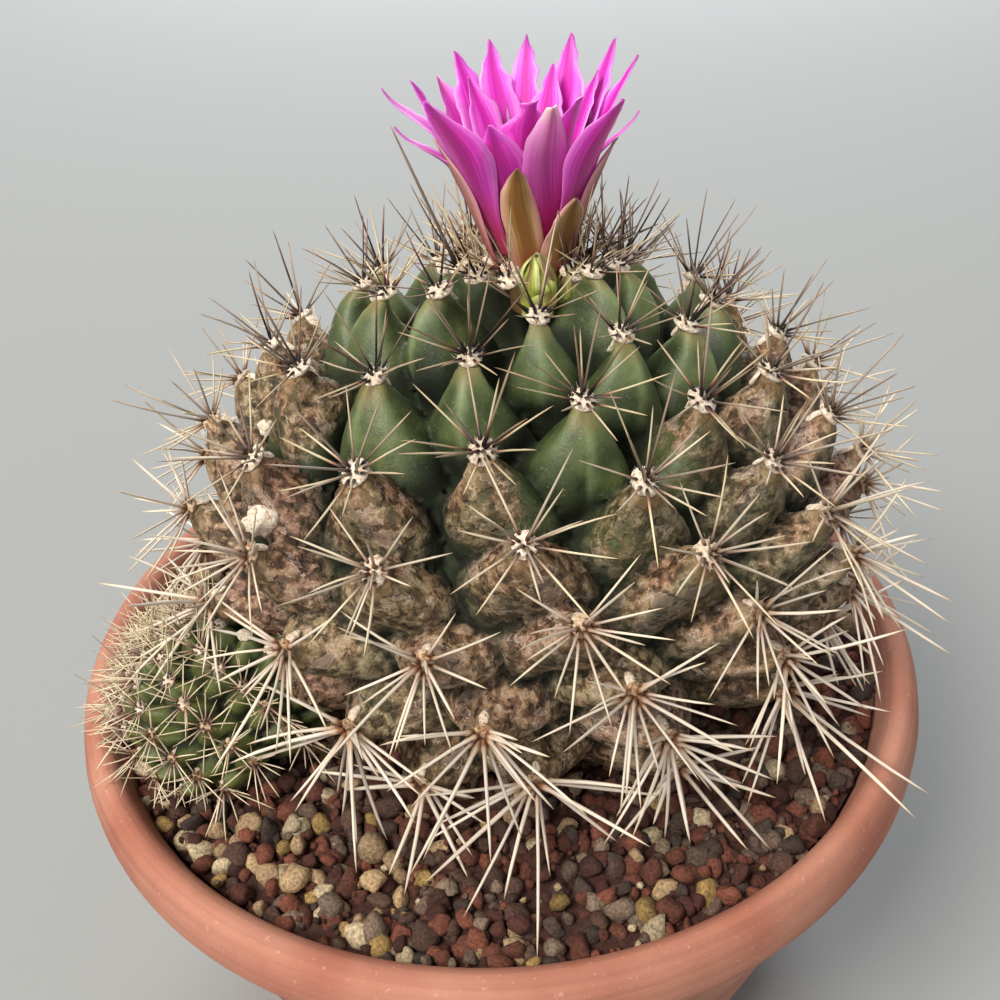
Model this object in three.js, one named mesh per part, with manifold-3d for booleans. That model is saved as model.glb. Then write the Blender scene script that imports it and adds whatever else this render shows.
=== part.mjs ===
// A spiny globular cactus in flower, with one young offset, in a terracotta bowl pot filled with grit.
// Sizes are in millimetres, +Z is up, the pot stands on the plane z = 0 and is centred on the Z axis.
// The front of the plant looks along -Y.

import * as THREE from 'three';
import { mergeVertices } from 'three/addons/utils/BufferGeometryUtils.js';
import Module from 'manifold-3d';

const wasm = await Module();
wasm.setup();

const DEG = Math.PI / 180;
const UP = new THREE.Vector3(0, 0, 1);

// Driving sizes of the pot
const POT_HEIGHT = 90;
const RIM_RADIUS = 90;
const RIM_INNER_RADIUS = 83;
const COLLAR_HEIGHT = 15.5;
const COLLAR_LIP = 4;
const LIP_STEP = 0.8;
const BASE_RADIUS = 62;
const BASE_BEVEL = 1.5;
const FLOOR_BEVEL = 4;
const FLOOR_THICKNESS = 6;
const WALL_THICKNESS = 5;
const DRAIN_RADIUS = 5;
const DRAIN_CIRCLE = 34;
const DRAIN_COUNT = 4;
const POT_SIDES = 56;

// The collar's outer face from its foot up: how far it lies inside the rim radius, and under the rim
const COLLAR_FACE = [[2.2, COLLAR_HEIGHT], [0, COLLAR_HEIGHT - 6], [0.9, 3], [3.4, 0]];

// Driving sizes of the grit
const GRIT_DROP = 7;
const GRAIN_SIZE = 5.2;
const GRAIN_RELIEF = 1.1;
const GRIT_FOOT_INSET = 3;

// Play between a seat and what stands in it
const FIT_GAP = 0.3;
const SEAT_GAP = 0.4;

// Levels that the other sizes follow
const GRIT_TOP = POT_HEIGHT - GRIT_DROP;
const PLANT_FLOOR = GRIT_TOP + GRAIN_RELIEF + FIT_GAP;

// The old stem: areoles lie on 13 slanting ribs, a level apart, on a leaning surface of revolution
const STEM = {
  centre: new THREE.Vector3(7, 6, POT_HEIGHT),
  axis: new THREE.Vector3(0.03, 0.13, 1).normalize(),
  ribs: 13,
  levelsPerTurn: 6,
  firstRib: -3 * DEG,
  twist: 8.3 * DEG,
  frontDrop: 0.7,
  sideCrowding: -0.108,
  backCrowding: -0.144,
  topLevel: -2.35,
  bottomLevel: 4.75,
  tubercleHeight: 13,
  crownHeight: 10,
  collarRadius: 43,
  collarDepth: 14,
  buried: 3,
  areoleRadius: 2.3,
  woolHeight: 1.4,
  spineWidth: 1.3,
  corners: [[1, 0], [0.5, 1], [-0.5, 1], [-1, 0], [-0.5, -1], [0.5, -1]],
  spineCount: 6,
};
const GIRTH_RADIUS = 70;
const GIRTH_LEVEL = 2.45;
const SHOULDER_FALL = 2.44;
const SUMMIT_HEIGHT = 105;
const SUMMIT_LEVEL = -8.67;
const FLANK_FALL = 0.61;

// The young offset: a small globe that leans away from the old stem
const OFFSET = {
  centre: new THREE.Vector3(-54.5, -21, POT_HEIGHT + 2),
  axis: new THREE.Vector3(-0.45, 0.5, 1).normalize(),
  ribs: 8,
  levelsPerTurn: 3,
  firstRib: 0,
  twist: 9 * DEG,
  frontDrop: 0,
  sideCrowding: 0,
  backCrowding: 0,
  topLevel: 0.9,
  bottomLevel: 6.5,
  tubercleHeight: 4.5,
  crownHeight: 3,
  collarRadius: 14,
  collarDepth: 8,
  buried: 1,
  areoleRadius: 1.4,
  woolHeight: 0.8,
  spineWidth: 0.8,
  corners: [[1.1, 0], [0, 1.1], [-1.1, 0], [0, -1.1]],
  spineCount: 4,
};
const OFFSET_RADIUS = 22.5;
const OFFSET_FLATNESS = 0.92;
const OFFSET_LEVEL_ANGLE = 20 * DEG;
const OFFSET_DENT_GAP = 1.8;

// A tubercle's root and shoulder: depth under its tip in tubercle heights, size and droop as shares of it
const TUBERCLE_ROOT = { depth: 1.3, share: 0.95, droop: 0.2 };
const TUBERCLE_SHOULDER = { depth: 0.28, share: 0.64, droop: 0.08 };
const TUBERCLE_HALF_WIDTH = 0.5;
const TUBERCLE_HALF_HEIGHT = 0.6;
const TUBERCLE_UPLIFT = 0.12;
const GROWN_AGE = 0.4;
const CORE_DEPTH = 0.92;

// Spines, and how far they keep from other pieces and from each other
const SPINE_CLEARANCE = 1.2;
const NEEDLE_CLEARANCE = 1.7;
const OFFSET_CLEARANCE = 2.5;
const RIM_CLEARANCE = 0.8;
const GRIT_CLEARANCE = 0.4;
const FLOWER_CLEARANCE = 1.6;
const SPINE_RAISES = [0, 14 * DEG, 28 * DEG, 42 * DEG];
const SPINE_LENGTH_SPREAD = 0.28;
const SPINE_LIFT_SPREAD = 10 * DEG;
const SPINE_BEARING_SPREAD = 0.2;

// The flower and the bud stand in plain sockets in the crown
const FLOWER_BASE = new THREE.Vector3(11.5, 17, 162);
const FLOWER_AXIS = new THREE.Vector3(-0.09, 0, 1).normalize();
const TUBE_RADIUS = 5.4;
const TUBE_HEIGHT = 10;
const FLOWER_HEIGHT = 40;
const SOCKET_DEPTH = 5;
const THROAT_HEIGHT = 5;
const PETAL_THICKNESS = 1;
const PETAL_EDGE = 0.35;
const PETAL_ROOT_GAP = 0.6;
const TEPAL_DROP = 5;
const BLADE_WIDTHS = [[0, 0.42], [0.4, 0.88], [0.75, 0.88]];
const BLADE_BEND = { out: 0.12, up: 0.55 };
const BLADE_BEARING_SPREAD = 0.16;
const BLADE_REACH_SPREAD = 0.14;
const PETAL_RINGS = [
  { count: 9, root: 3.9, tip: 22.5, rise: 24.5, width: 8.6, phase: 0 },
  { count: 9, root: 3.3, tip: 18.5, rise: 29, width: 7.8, phase: 0.5 },
  { count: 5, root: 2.6, tip: 12.5, rise: 32, width: 7, phase: 0.2 },
];
const TEPAL_RINGS = [
  { count: 6, root: 4.6, tip: 15.5, rise: 20, width: 7.6, phase: 0.25 },
  { count: 3, root: 4.7, tip: 11, rise: 13, width: 6.4, phase: 0.4 },
];
const BUD_BASE = new THREE.Vector3(12, 5.5, 162);
const BUD_RADIUS = 4.4;
const BUD_FOOT_RADIUS = 2.6;
const BUD_HEIGHT = 15;
const BUD_SCALE_THICKNESS = 0.9;
const BUD_SCALE_RINGS = [
  { count: 3, height: 1, root: 3.5, tip: 4, rise: 8.5, width: 4.4, phase: 0.1 },
  { count: 3, height: 5, root: 4.3, tip: 2, rise: 8.5, width: 4, phase: 0.6 },
];

// The stamens stand round the style, whose stigma opens above them
const STYLE_PROFILE = [[0, 0], [1.6, 0], [2.6, 6], [1.2, 8], [1.1, 14], [1.9, 17], [0, 17.6]];
const STAMEN_COUNT = 12;
const STAMEN_CIRCLE = 1.6;
const STAMEN_ROOT = 3;
const STAMEN_LENGTH = 9;
const FILAMENT_RADIUS = 0.45;
const ANTHER_RADIUS = 0.65;

// A seeded random number between 0 and 1, the same in each run
function seeded(seed) {
  let state = seed >>> 0;
  return () => {
    state = (Math.imul(state, 1664525) + 1013904223) >>> 0;
    return state / 4294967296;
  };
}

// Closed meshes as solids, and back

function solidOf(geometry) {
  const bare = geometry.index ? geometry.toNonIndexed() : geometry.clone();
  bare.deleteAttribute('normal');
  bare.deleteAttribute('uv');
  const merged = mergeVertices(bare, 1e-4);
  return solidFrom(merged.attributes.position.array, merged.index.array);
}

function solidFrom(points, triangles) {
  const mesh = new wasm.Mesh({
    numProp: 3,
    vertProperties: Float32Array.from(points),
    triVerts: Uint32Array.from(triangles),
  });
  return new wasm.Manifold(mesh);
}

function solidFromPoints(points, triangles) {
  return solidFrom(points.flatMap((p) => [p.x, p.y, p.z]), triangles.flat());
}

function joined(solids) {
  let level = solids;
  while (level.length > 1) {
    const next = [];
    for (let k = 0; k < level.length; k += 2) {
      next.push(k + 1 < level.length ? level[k].add(level[k + 1]) : level[k]);
    }
    level = next;
  }
  return level[0];
}

function largestBody(solid) {
  const bodies = solid.decompose();
  return bodies.reduce((best, body) => (body.volume() > best.volume() ? body : best));
}

function meshOf(name, solid, material) {
  const result = solid.getMesh();
  const geometry = new THREE.BufferGeometry();
  geometry.setAttribute('position', new THREE.BufferAttribute(result.vertProperties, 3));
  geometry.setIndex(new THREE.BufferAttribute(result.triVerts, 1));
  geometry.computeVertexNormals();
  const mesh = new THREE.Mesh(geometry, material);
  mesh.name = name;
  return mesh;
}

// A lathe turned about +Z from a profile of [radius, height] pairs
function turned(profile, sides) {
  const geometry = new THREE.LatheGeometry(profile.map(([r, z]) => new THREE.Vector2(r, z)), sides);
  geometry.rotateX(90 * DEG);
  return geometry;
}

function drum(radius, bottom, top, x, y, sides = 32) {
  const geometry = new THREE.CylinderGeometry(radius, radius, top - bottom, sides);
  geometry.rotateX(90 * DEG);
  geometry.translate(x, y, (bottom + top) / 2);
  return solidOf(geometry);
}

// Rings of points joined into a closed tube, with a fan over each end
function loft(rings, start, end) {
  const sides = rings[0].length;
  const points = [start, ...rings.flat(), end];
  const at = (ring, side) => 1 + ring * sides + (side % sides);
  const triangles = [];
  for (let side = 0; side < sides; side += 1) {
    triangles.push([0, at(0, side + 1), at(0, side)]);
    for (let ring = 0; ring + 1 < rings.length; ring += 1) {
      triangles.push([at(ring, side), at(ring, side + 1), at(ring + 1, side + 1)]);
      triangles.push([at(ring, side), at(ring + 1, side + 1), at(ring + 1, side)]);
    }
    triangles.push([at(rings.length - 1, side), at(rings.length - 1, side + 1), points.length - 1]);
  }
  return solidFromPoints(points, triangles);
}

// Pot

function wallRadius(z) {
  const share = (z - FLOOR_THICKNESS) / (POT_HEIGHT - COLLAR_LIP - FLOOR_THICKNESS);
  const innerBase = BASE_RADIUS - WALL_THICKNESS;
  return THREE.MathUtils.lerp(innerBase, RIM_INNER_RADIUS - LIP_STEP, share);
}

function makePot() {
  const underCollar = POT_HEIGHT - COLLAR_HEIGHT;
  const profile = [
    [0, 0],
    [BASE_RADIUS - BASE_BEVEL, 0],
    [BASE_RADIUS, BASE_BEVEL],
    [wallRadius(underCollar) + WALL_THICKNESS, underCollar - 2],
    ...COLLAR_FACE.map(([inset, depth]) => [RIM_RADIUS - inset, POT_HEIGHT - depth]),
    [RIM_INNER_RADIUS + 0.7, POT_HEIGHT - 0.6],
    [RIM_INNER_RADIUS, POT_HEIGHT - 2],
    [wallRadius(POT_HEIGHT - COLLAR_LIP), POT_HEIGHT - COLLAR_LIP],
    [wallRadius(FLOOR_THICKNESS + FLOOR_BEVEL), FLOOR_THICKNESS + FLOOR_BEVEL],
    [wallRadius(FLOOR_THICKNESS) - GRIT_FOOT_INSET, FLOOR_THICKNESS],
    [0, FLOOR_THICKNESS],
  ];
  let pot = solidOf(turned(profile, POT_SIDES));
  for (let k = 0; k < DRAIN_COUNT; k += 1) {
    const angle = (k + 0.5) * 2 * Math.PI / DRAIN_COUNT;
    const x = DRAIN_CIRCLE * Math.cos(angle);
    const y = DRAIN_CIRCLE * Math.sin(angle);
    pot = pot.subtract(drum(DRAIN_RADIUS, -1, FLOOR_THICKNESS + 1, x, y, 16));
  }
  return pot;
}

// Substrate: a filled body whose top is raised into grains

function makeSubstrate() {
  const random = seeded(11);
  const bottom = FLOOR_THICKNESS + FIT_GAP;
  const edge = wallRadius(GRIT_TOP) - FIT_GAP;
  const innermost = STEM.collarRadius - 6;
  const ringCount = Math.round((edge - innermost) / GRAIN_SIZE);
  const rings = [];
  for (const z of [bottom, GRIT_TOP]) {
    const radius = wallRadius(z) - FIT_GAP - (z === bottom ? GRIT_FOOT_INSET : 0);
    rings.push(ringAt(radius, POT_SIDES, () => z, 0));
  }
  for (let k = 1; k <= ringCount; k += 1) {
    const radius = THREE.MathUtils.lerp(edge, innermost, k / ringCount);
    const height = () => GRIT_TOP + GRAIN_RELIEF * (2 * random() - 1);
    rings.push(ringAt(radius, POT_SIDES, height, (k % 2) / 2));
  }
  const start = new THREE.Vector3(0, 0, bottom);
  const end = new THREE.Vector3(0, 0, GRIT_TOP);
  let grit = loft(rings, start, end);
  for (const body of [STEM, OFFSET]) {
    const { x, y } = body.centre;
    const floor = GRIT_TOP - body.collarDepth - FIT_GAP;
    grit = grit.subtract(drum(body.collarRadius + FIT_GAP, floor, POT_HEIGHT, x, y, 48));
  }
  return largestBody(grit);
}

function ringAt(radius, sides, height, phase) {
  return Array.from({ length: sides }, (_, k) => {
    const angle = (k + phase) * 2 * Math.PI / sides;
    return new THREE.Vector3(radius * Math.cos(angle), radius * Math.sin(angle), height());
  });
}

// Plant bodies: the outline of each, from its crown (low levels) to its foot (high levels)

function stemOutline(level) {
  return {
    r: GIRTH_RADIUS - SHOULDER_FALL * (level - GIRTH_LEVEL) ** 2,
    z: SUMMIT_HEIGHT - FLANK_FALL * (level - SUMMIT_LEVEL) ** 2,
  };
}

function offsetOutline(level) {
  const angle = level * OFFSET_LEVEL_ANGLE;
  return { r: OFFSET_RADIUS * Math.sin(angle), z: OFFSET_RADIUS * OFFSET_FLATNESS * Math.cos(angle) };
}

function outlineNormal(outline, level) {
  const before = outline(level - 0.01);
  const after = outline(level + 0.01);
  return new THREE.Vector2(before.z - after.z, after.r - before.r).normalize();
}

// The frame of each areole: its point, the way it faces, the side and the upward direction on the skin
function areolesOf(body, outline) {
  const turn = new THREE.Quaternion().setFromUnitVectors(UP, body.axis);
  const frames = [];
  for (let rib = 0; rib < body.ribs; rib += 1) {
    const lag = body.levelsPerTurn * rib / body.ribs;
    for (let step = -12; step <= 12; step += 1) {
      const even = step + lag;
      const bearing = body.firstRib + rib * 2 * Math.PI / body.ribs + body.twist * even;
      const level = even + body.frontDrop * Math.cos(bearing);
      if (level < body.topLevel || level > body.bottomLevel) {
        continue;
      }
      const backward = 1 - Math.cos(bearing);
      const crowding = body.sideCrowding * Math.sin(bearing) + body.backCrowding * backward;
      const frame = areoleFrame(body, outline, turn, level, bearing + crowding);
      if (frame.point.z > GRIT_TOP - body.buried) {
        frames.push(frame);
      }
    }
  }
  return frames;
}

function areoleFrame(body, outline, turn, level, azimuth) {
  const { r, z } = outline(level);
  const normal = outlineNormal(outline, level);
  const away = new THREE.Vector3(Math.sin(azimuth), -Math.cos(azimuth), 0);
  const rise = normal.y + TUBERCLE_UPLIFT;
  const out = away.clone().multiplyScalar(normal.x).addScaledVector(UP, rise).normalize();
  const side = new THREE.Vector3(Math.cos(azimuth), Math.sin(azimuth), 0);
  const point = away.multiplyScalar(r).addScaledVector(UP, z);
  const below = outline(level + 0.5);
  const above = outline(level - 0.5);
  return {
    level,
    age: (level - body.topLevel) / (body.bottomLevel - body.topLevel),
    point: point.applyQuaternion(turn).add(body.centre),
    out: out.applyQuaternion(turn),
    side: side.applyQuaternion(turn),
    up: new THREE.Vector3().crossVectors(out, side),
    ribSpacing: 2 * Math.PI * r / body.ribs,
    levelSpacing: Math.hypot(below.r - above.r, below.z - above.z),
  };
}

function placed(frame, x, y, z) {
  return frame.point.clone()
    .addScaledVector(frame.side, x)
    .addScaledVector(frame.up, y)
    .addScaledVector(frame.out, z);
}

// Triangles between two closed rings of corners, each sorted by its angle
function bridge(outer, inner) {
  const triangles = [];
  const angleAt = (ring, k) => ring[k % ring.length].angle + 2 * Math.PI * Math.floor(k / ring.length);
  let o = 0;
  let i = 0;
  while (o < outer.length || i < inner.length) {
    const from = outer[o % outer.length].index;
    const to = inner[i % inner.length].index;
    const outerIsNext = angleAt(outer, o + 1) < angleAt(inner, i + 1);
    if (i >= inner.length || (o < outer.length && outerIsNext)) {
      triangles.push([from, outer[(o + 1) % outer.length].index, to]);
      o += 1;
    } else {
      triangles.push([from, inner[(i + 1) % inner.length].index, to]);
      i += 1;
    }
  }
  return triangles;
}

// Tubercles are low in the crown and full height from GROWN_AGE on
function tubercleHeightAt(body, age) {
  return THREE.MathUtils.lerp(body.crownHeight, body.tubercleHeight, Math.min(1, age / GROWN_AGE));
}

// One tubercle: a blunt finger on a cornered foot. Its tip ends in the woolly areole, whose faces are drawn
// out into needles, one for each spine. With fewer than three spines the tip is closed plainly.
function makeTubercle(frame, body, spines) {
  const height = tubercleHeightAt(body, frame.age);
  const halfWidth = TUBERCLE_HALF_WIDTH * frame.ribSpacing;
  const halfHeight = TUBERCLE_HALF_HEIGHT * frame.levelSpacing;
  const bottom = placed(frame, 0, 0, -TUBERCLE_ROOT.depth * height);
  const points = [bottom, placed(frame, 0, 0, body.woolHeight)];
  const triangles = [];
  const ring = ({ depth, share, droop }) => body.corners.map(([x, y]) => {
    const local = [x * share * halfWidth, (y * share - droop) * halfHeight];
    points.push(placed(frame, ...local, -depth * height));
    return { index: points.length - 1, angle: Math.atan2(y, x) };
  }).sort((a, b) => a.angle - b.angle);
  const root = ring(TUBERCLE_ROOT);
  const shoulder = ring(TUBERCLE_SHOULDER);
  root.forEach((corner, k) => triangles.push([0, root[(k + 1) % root.length].index, corner.index]));
  triangles.push(...bridge(root, shoulder));
  if (spines.length < 3) {
    shoulder.forEach((corner, k) => {
      triangles.push([1, corner.index, shoulder[(k + 1) % shoulder.length].index]);
    });
    return solidFromPoints(points, triangles);
  }
  const halfAngle = body.spineWidth / 2 / body.areoleRadius;
  const areole = spines.flatMap((spine) => {
    const foot = [spine.angle - halfAngle, spine.angle + halfAngle].map((angle) => {
      const [x, y] = [Math.cos(angle), Math.sin(angle)];
      points.push(placed(frame, body.areoleRadius * x, body.areoleRadius * y, 0));
      return { index: points.length - 1, angle: Math.atan2(y, x) };
    });
    points.push(spine.tip);
    triangles.push([foot[0].index, foot[1].index, points.length - 1]);
    triangles.push([foot[1].index, 1, points.length - 1], [1, foot[0].index, points.length - 1]);
    return foot;
  });
  areole.forEach((corner, k) => {
    if (k % 2 === 1) {
      triangles.push([1, corner.index, areole[(k + 1) % areole.length].index]);
    }
  });
  const sorted = [...areole].sort((a, b) => a.angle - b.angle);
  triangles.push(...bridge(shoulder, sorted));
  return solidFromPoints(points, triangles);
}

// The rounded core that the tubercles stand on, with a straight collar down into the grit
function makeCore(body, outline, sides) {
  const turn = new THREE.Quaternion().setFromUnitVectors(UP, body.axis);
  const steps = 6;
  const profile = [];
  for (let k = 0; k <= steps; k += 1) {
    const level = THREE.MathUtils.lerp(body.topLevel, body.bottomLevel + 0.8, k / steps);
    const { r, z } = outline(level);
    const normal = outlineNormal(outline, level);
    const inset = CORE_DEPTH * tubercleHeightAt(body, k / steps);
    profile.unshift([Math.max(r - inset * normal.x, 0.5), z - inset * normal.y]);
  }
  profile.unshift([0, profile[0][1]]);
  profile.push([0, profile[profile.length - 1][1]]);
  const geometry = turned(profile, sides);
  geometry.applyQuaternion(turn);
  geometry.translate(body.centre.x, body.centre.y, body.centre.z);
  return solidOf(geometry);
}

// Where spines may not go: the grit, the rim, the offset, the flower and the bud

function insideFlower(point) {
  const reach = point.clone().sub(FLOWER_BASE);
  const along = reach.dot(FLOWER_AXIS);
  const across = reach.addScaledVector(FLOWER_AXIS, -along).length();
  const flare = 0.68 * Math.max(0, along - TUBE_HEIGHT);
  const outer = TUBE_RADIUS + FLOWER_CLEARANCE + flare + SPINE_CLEARANCE;
  return along > -2 && along < FLOWER_HEIGHT && across < outer;
}

function insideBud(point) {
  const reach = point.clone().sub(BUD_BASE);
  const across = Math.hypot(reach.x, reach.y);
  return reach.z > -2 && reach.z < BUD_HEIGHT + 2 && across < BUD_RADIUS + SPINE_CLEARANCE;
}

function insideRim(point) {
  const radius = Math.hypot(point.x, point.y);
  const nearWall = radius > RIM_INNER_RADIUS - 2 * RIM_CLEARANCE && radius < RIM_RADIUS + RIM_CLEARANCE;
  return nearWall && point.z < POT_HEIGHT + RIM_CLEARANCE;
}

function insideGrit(point) {
  return Math.hypot(point.x, point.y) < RIM_INNER_RADIUS && point.z < PLANT_FLOOR + GRIT_CLEARANCE;
}

function insideOffset(point) {
  return point.distanceTo(OFFSET.centre) < OFFSET_RADIUS + OFFSET_CLEARANCE;
}

// Near the old stem's own skin
function insideStem(point) {
  const turn = new THREE.Quaternion().setFromUnitVectors(STEM.axis, UP);
  const local = point.clone().sub(STEM.centre).applyQuaternion(turn);
  const level = SUMMIT_LEVEL + Math.sqrt(Math.max(0, SUMMIT_HEIGHT - local.z) / FLANK_FALL);
  return Math.hypot(local.x, local.y) < stemOutline(level).r + SPINE_CLEARANCE;
}

// Near any of the needles in a list of lines
function nearNeedle(needles) {
  const closest = new THREE.Vector3();
  return (point) => needles.some((line) => (
    line.closestPointToPoint(point, true, closest).distanceTo(point) < NEEDLE_CLEARANCE));
}

function isClear(root, tip, barriers) {
  const point = new THREE.Vector3();
  for (let share = 0.15; share < 1.001; share += 0.05) {
    point.lerpVectors(root, tip, share);
    if (barriers.some((inside) => inside(point))) {
      return false;
    }
  }
  return true;
}

// A spine's direction: fanned round the areole and, on old areoles, drawn down towards the foot
function spineTip(frame, angle, lift, length) {
  const direction = new THREE.Vector3()
    .addScaledVector(frame.side, Math.cos(angle) * Math.cos(lift))
    .addScaledVector(frame.up, Math.sin(angle) * Math.cos(lift))
    .addScaledVector(frame.out, Math.sin(lift));
  return frame.point.clone().addScaledVector(direction, length);
}

function spinesOf(frame, count, rule, barriers, random) {
  const spines = [];
  for (let k = 0; k < count; k += 1) {
    const even = ((k + 0.5) / count - 0.5) * 2 * Math.PI;
    const fromFoot = even + SPINE_BEARING_SPREAD * (random() - 0.5);
    const angle = -Math.PI / 2 + fromFoot * (1 - rule.droop(frame.age));
    const central = k % 3 === 1;
    const length = rule.length(frame.age, central) * (1 + SPINE_LENGTH_SPREAD * (random() - 0.5));
    const lift = (central ? rule.centralLift : rule.radialLift) + SPINE_LIFT_SPREAD * (random() - 0.5);
    for (const raise of SPINE_RAISES) {
      const tip = spineTip(frame, angle, lift + raise, length);
      if (isClear(frame.point, tip, barriers)) {
        spines.push({ angle, tip });
        break;
      }
    }
  }
  return spines;
}

const STEM_SPINES = {
  droop: (age) => 0.3 * age,
  length: (age, central) => (central ? 23 - 2 * age + 10 * age ** 3 : 13 + 12 * age ** 2 + 5 * age ** 4),
  radialLift: 24 * DEG,
  centralLift: 52 * DEG,
};

const OFFSET_SPINES = {
  droop: () => 0,
  length: () => 8,
  radialLift: 30 * DEG,
  centralLift: 55 * DEG,
};

// The half space above the grit, which the tubercles and the core are kept to
function aboveGrit() {
  const size = 2 * RIM_RADIUS;
  const slab = new THREE.BoxGeometry(size, size, size);
  slab.translate(0, 0, PLANT_FLOOR + size / 2);
  return solidOf(slab);
}

function makeCollar(body) {
  const { x, y } = body.centre;
  return drum(body.collarRadius, GRIT_TOP - body.collarDepth, PLANT_FLOOR + 3, x, y, 40);
}

function makeStem(needles) {
  const random = seeded(5);
  const barriers = [insideFlower, insideBud, insideRim, insideGrit, insideOffset];
  const skin = [makeCore(STEM, stemOutline, 18)];
  for (const frame of areolesOf(STEM, stemOutline)) {
    if (barriers.every((inside) => inside === insideGrit || !inside(frame.point))) {
      const spines = spinesOf(frame, STEM.spineCount, STEM_SPINES, barriers, random);
      skin.push(makeTubercle(frame, STEM, spines));
      needles.push(...spines.map((spine) => new THREE.Line3(frame.point, spine.tip)));
    }
  }
  const dent = new THREE.SphereGeometry(OFFSET_RADIUS + OFFSET_DENT_GAP, 26, 16);
  dent.translate(OFFSET.centre.x, OFFSET.centre.y, OFFSET.centre.z);
  let body = joined(skin).subtract(solidOf(dent)).intersect(aboveGrit()).add(makeCollar(STEM));
  const { x, y, z } = BUD_BASE;
  body = body.subtract(inFlower(drum(TUBE_RADIUS + SEAT_GAP, -SOCKET_DEPTH, FLOWER_HEIGHT, 0, 0, 20)));
  body = body.subtract(drum(BUD_FOOT_RADIUS + SEAT_GAP, z - SOCKET_DEPTH, z + 1, x, y, 16));
  body = body.subtract(drum(BUD_RADIUS + 1, z - FIT_GAP, z + 2 * BUD_HEIGHT, x, y, 16));
  return largestBody(body);
}

function makeOffset(needles) {
  const random = seeded(9);
  const barriers = [insideRim, insideGrit, insideStem, nearNeedle(needles)];
  const skin = [makeCore(OFFSET, offsetOutline, 10)];
  for (const frame of areolesOf(OFFSET, offsetOutline)) {
    const spines = spinesOf(frame, OFFSET.spineCount, OFFSET_SPINES, barriers, random);
    skin.push(makeTubercle(frame, OFFSET, spines));
  }
  return largestBody(joined(skin).intersect(aboveGrit()).add(makeCollar(OFFSET)));
}

// Flower, in its own frame: +Z along the flower's axis, z = 0 where the tube stands on the crown

function inFlower(solid) {
  const turn = new THREE.Quaternion().setFromUnitVectors(UP, FLOWER_AXIS);
  const place = new THREE.Matrix4().compose(FLOWER_BASE, turn, new THREE.Vector3(1, 1, 1));
  return solid.transform(place.elements);
}

// One blade along a curve from its root out to its pointed tip, with a lens-shaped section
function makeBlade(ring, index, rootHeight, thickness, random) {
  const even = (index + ring.phase) * 2 * Math.PI / ring.count;
  const angle = even + BLADE_BEARING_SPREAD * (random() - 0.5);
  const reach = 1 + BLADE_REACH_SPREAD * (random() - 0.5);
  const away = new THREE.Vector3(Math.cos(angle), Math.sin(angle), 0);
  const side = new THREE.Vector3(-Math.sin(angle), Math.cos(angle), 0);
  const start = new THREE.Vector2(ring.root, rootHeight);
  const bendHeight = rootHeight + BLADE_BEND.up * ring.rise;
  const bend = new THREE.Vector2(ring.root + BLADE_BEND.out * ring.tip, bendHeight);
  const end = new THREE.Vector2(ring.tip * reach, rootHeight + ring.rise * reach);
  const curve = new THREE.QuadraticBezierCurve(start, bend, end);
  const spot = (share, x, out) => {
    const p = curve.getPoint(share);
    const t = curve.getTangent(share);
    const point = away.clone().multiplyScalar(p.x + out * t.y).addScaledVector(side, x);
    return point.addScaledVector(UP, p.y - out * t.x);
  };
  const rings = BLADE_WIDTHS.map(([share, width]) => {
    const half = width * ring.width / 2;
    const edges = [spot(share, half, -PETAL_EDGE), spot(share, -half, -PETAL_EDGE)];
    return [edges[0], spot(share, 0, -thickness / 2), edges[1], spot(share, 0, thickness / 2)];
  });
  return loft(rings, spot(0, 0, 0), spot(1, 0, 0));
}

function blades(rings, rootHeight, thickness, seed) {
  const random = seeded(seed);
  return rings.flatMap((ring) => Array.from({ length: ring.count }, (_, k) => (
    makeBlade(ring, k, rootHeight, thickness, random))));
}

function makeTube(thickness) {
  const profile = [
    [0, -SOCKET_DEPTH + FIT_GAP],
    [TUBE_RADIUS - 0.4, -SOCKET_DEPTH + FIT_GAP],
    [TUBE_RADIUS - 0.2, 2],
    [TUBE_RADIUS + 0.3, TUBE_HEIGHT],
    [0, TUBE_HEIGHT],
  ];
  const tube = solidOf(turned(profile, 20));
  const tepals = blades(TEPAL_RINGS, TUBE_HEIGHT - TEPAL_DROP, thickness, 21);
  return joined([tube, ...tepals]);
}

function makePetals() {
  const throat = [
    [0, TUBE_HEIGHT + FIT_GAP],
    [TUBE_RADIUS - 0.6, TUBE_HEIGHT + FIT_GAP],
    [TUBE_RADIUS + 0.6, TUBE_HEIGHT + THROAT_HEIGHT],
    [0, TUBE_HEIGHT + THROAT_HEIGHT],
  ];
  const petals = blades(PETAL_RINGS, TUBE_HEIGHT + PETAL_ROOT_GAP, PETAL_THICKNESS, 22);
  const whole = joined([solidOf(turned(throat, 20)), ...petals]);
  return largestBody(whole.subtract(makeTube(PETAL_THICKNESS + 1)));
}

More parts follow.
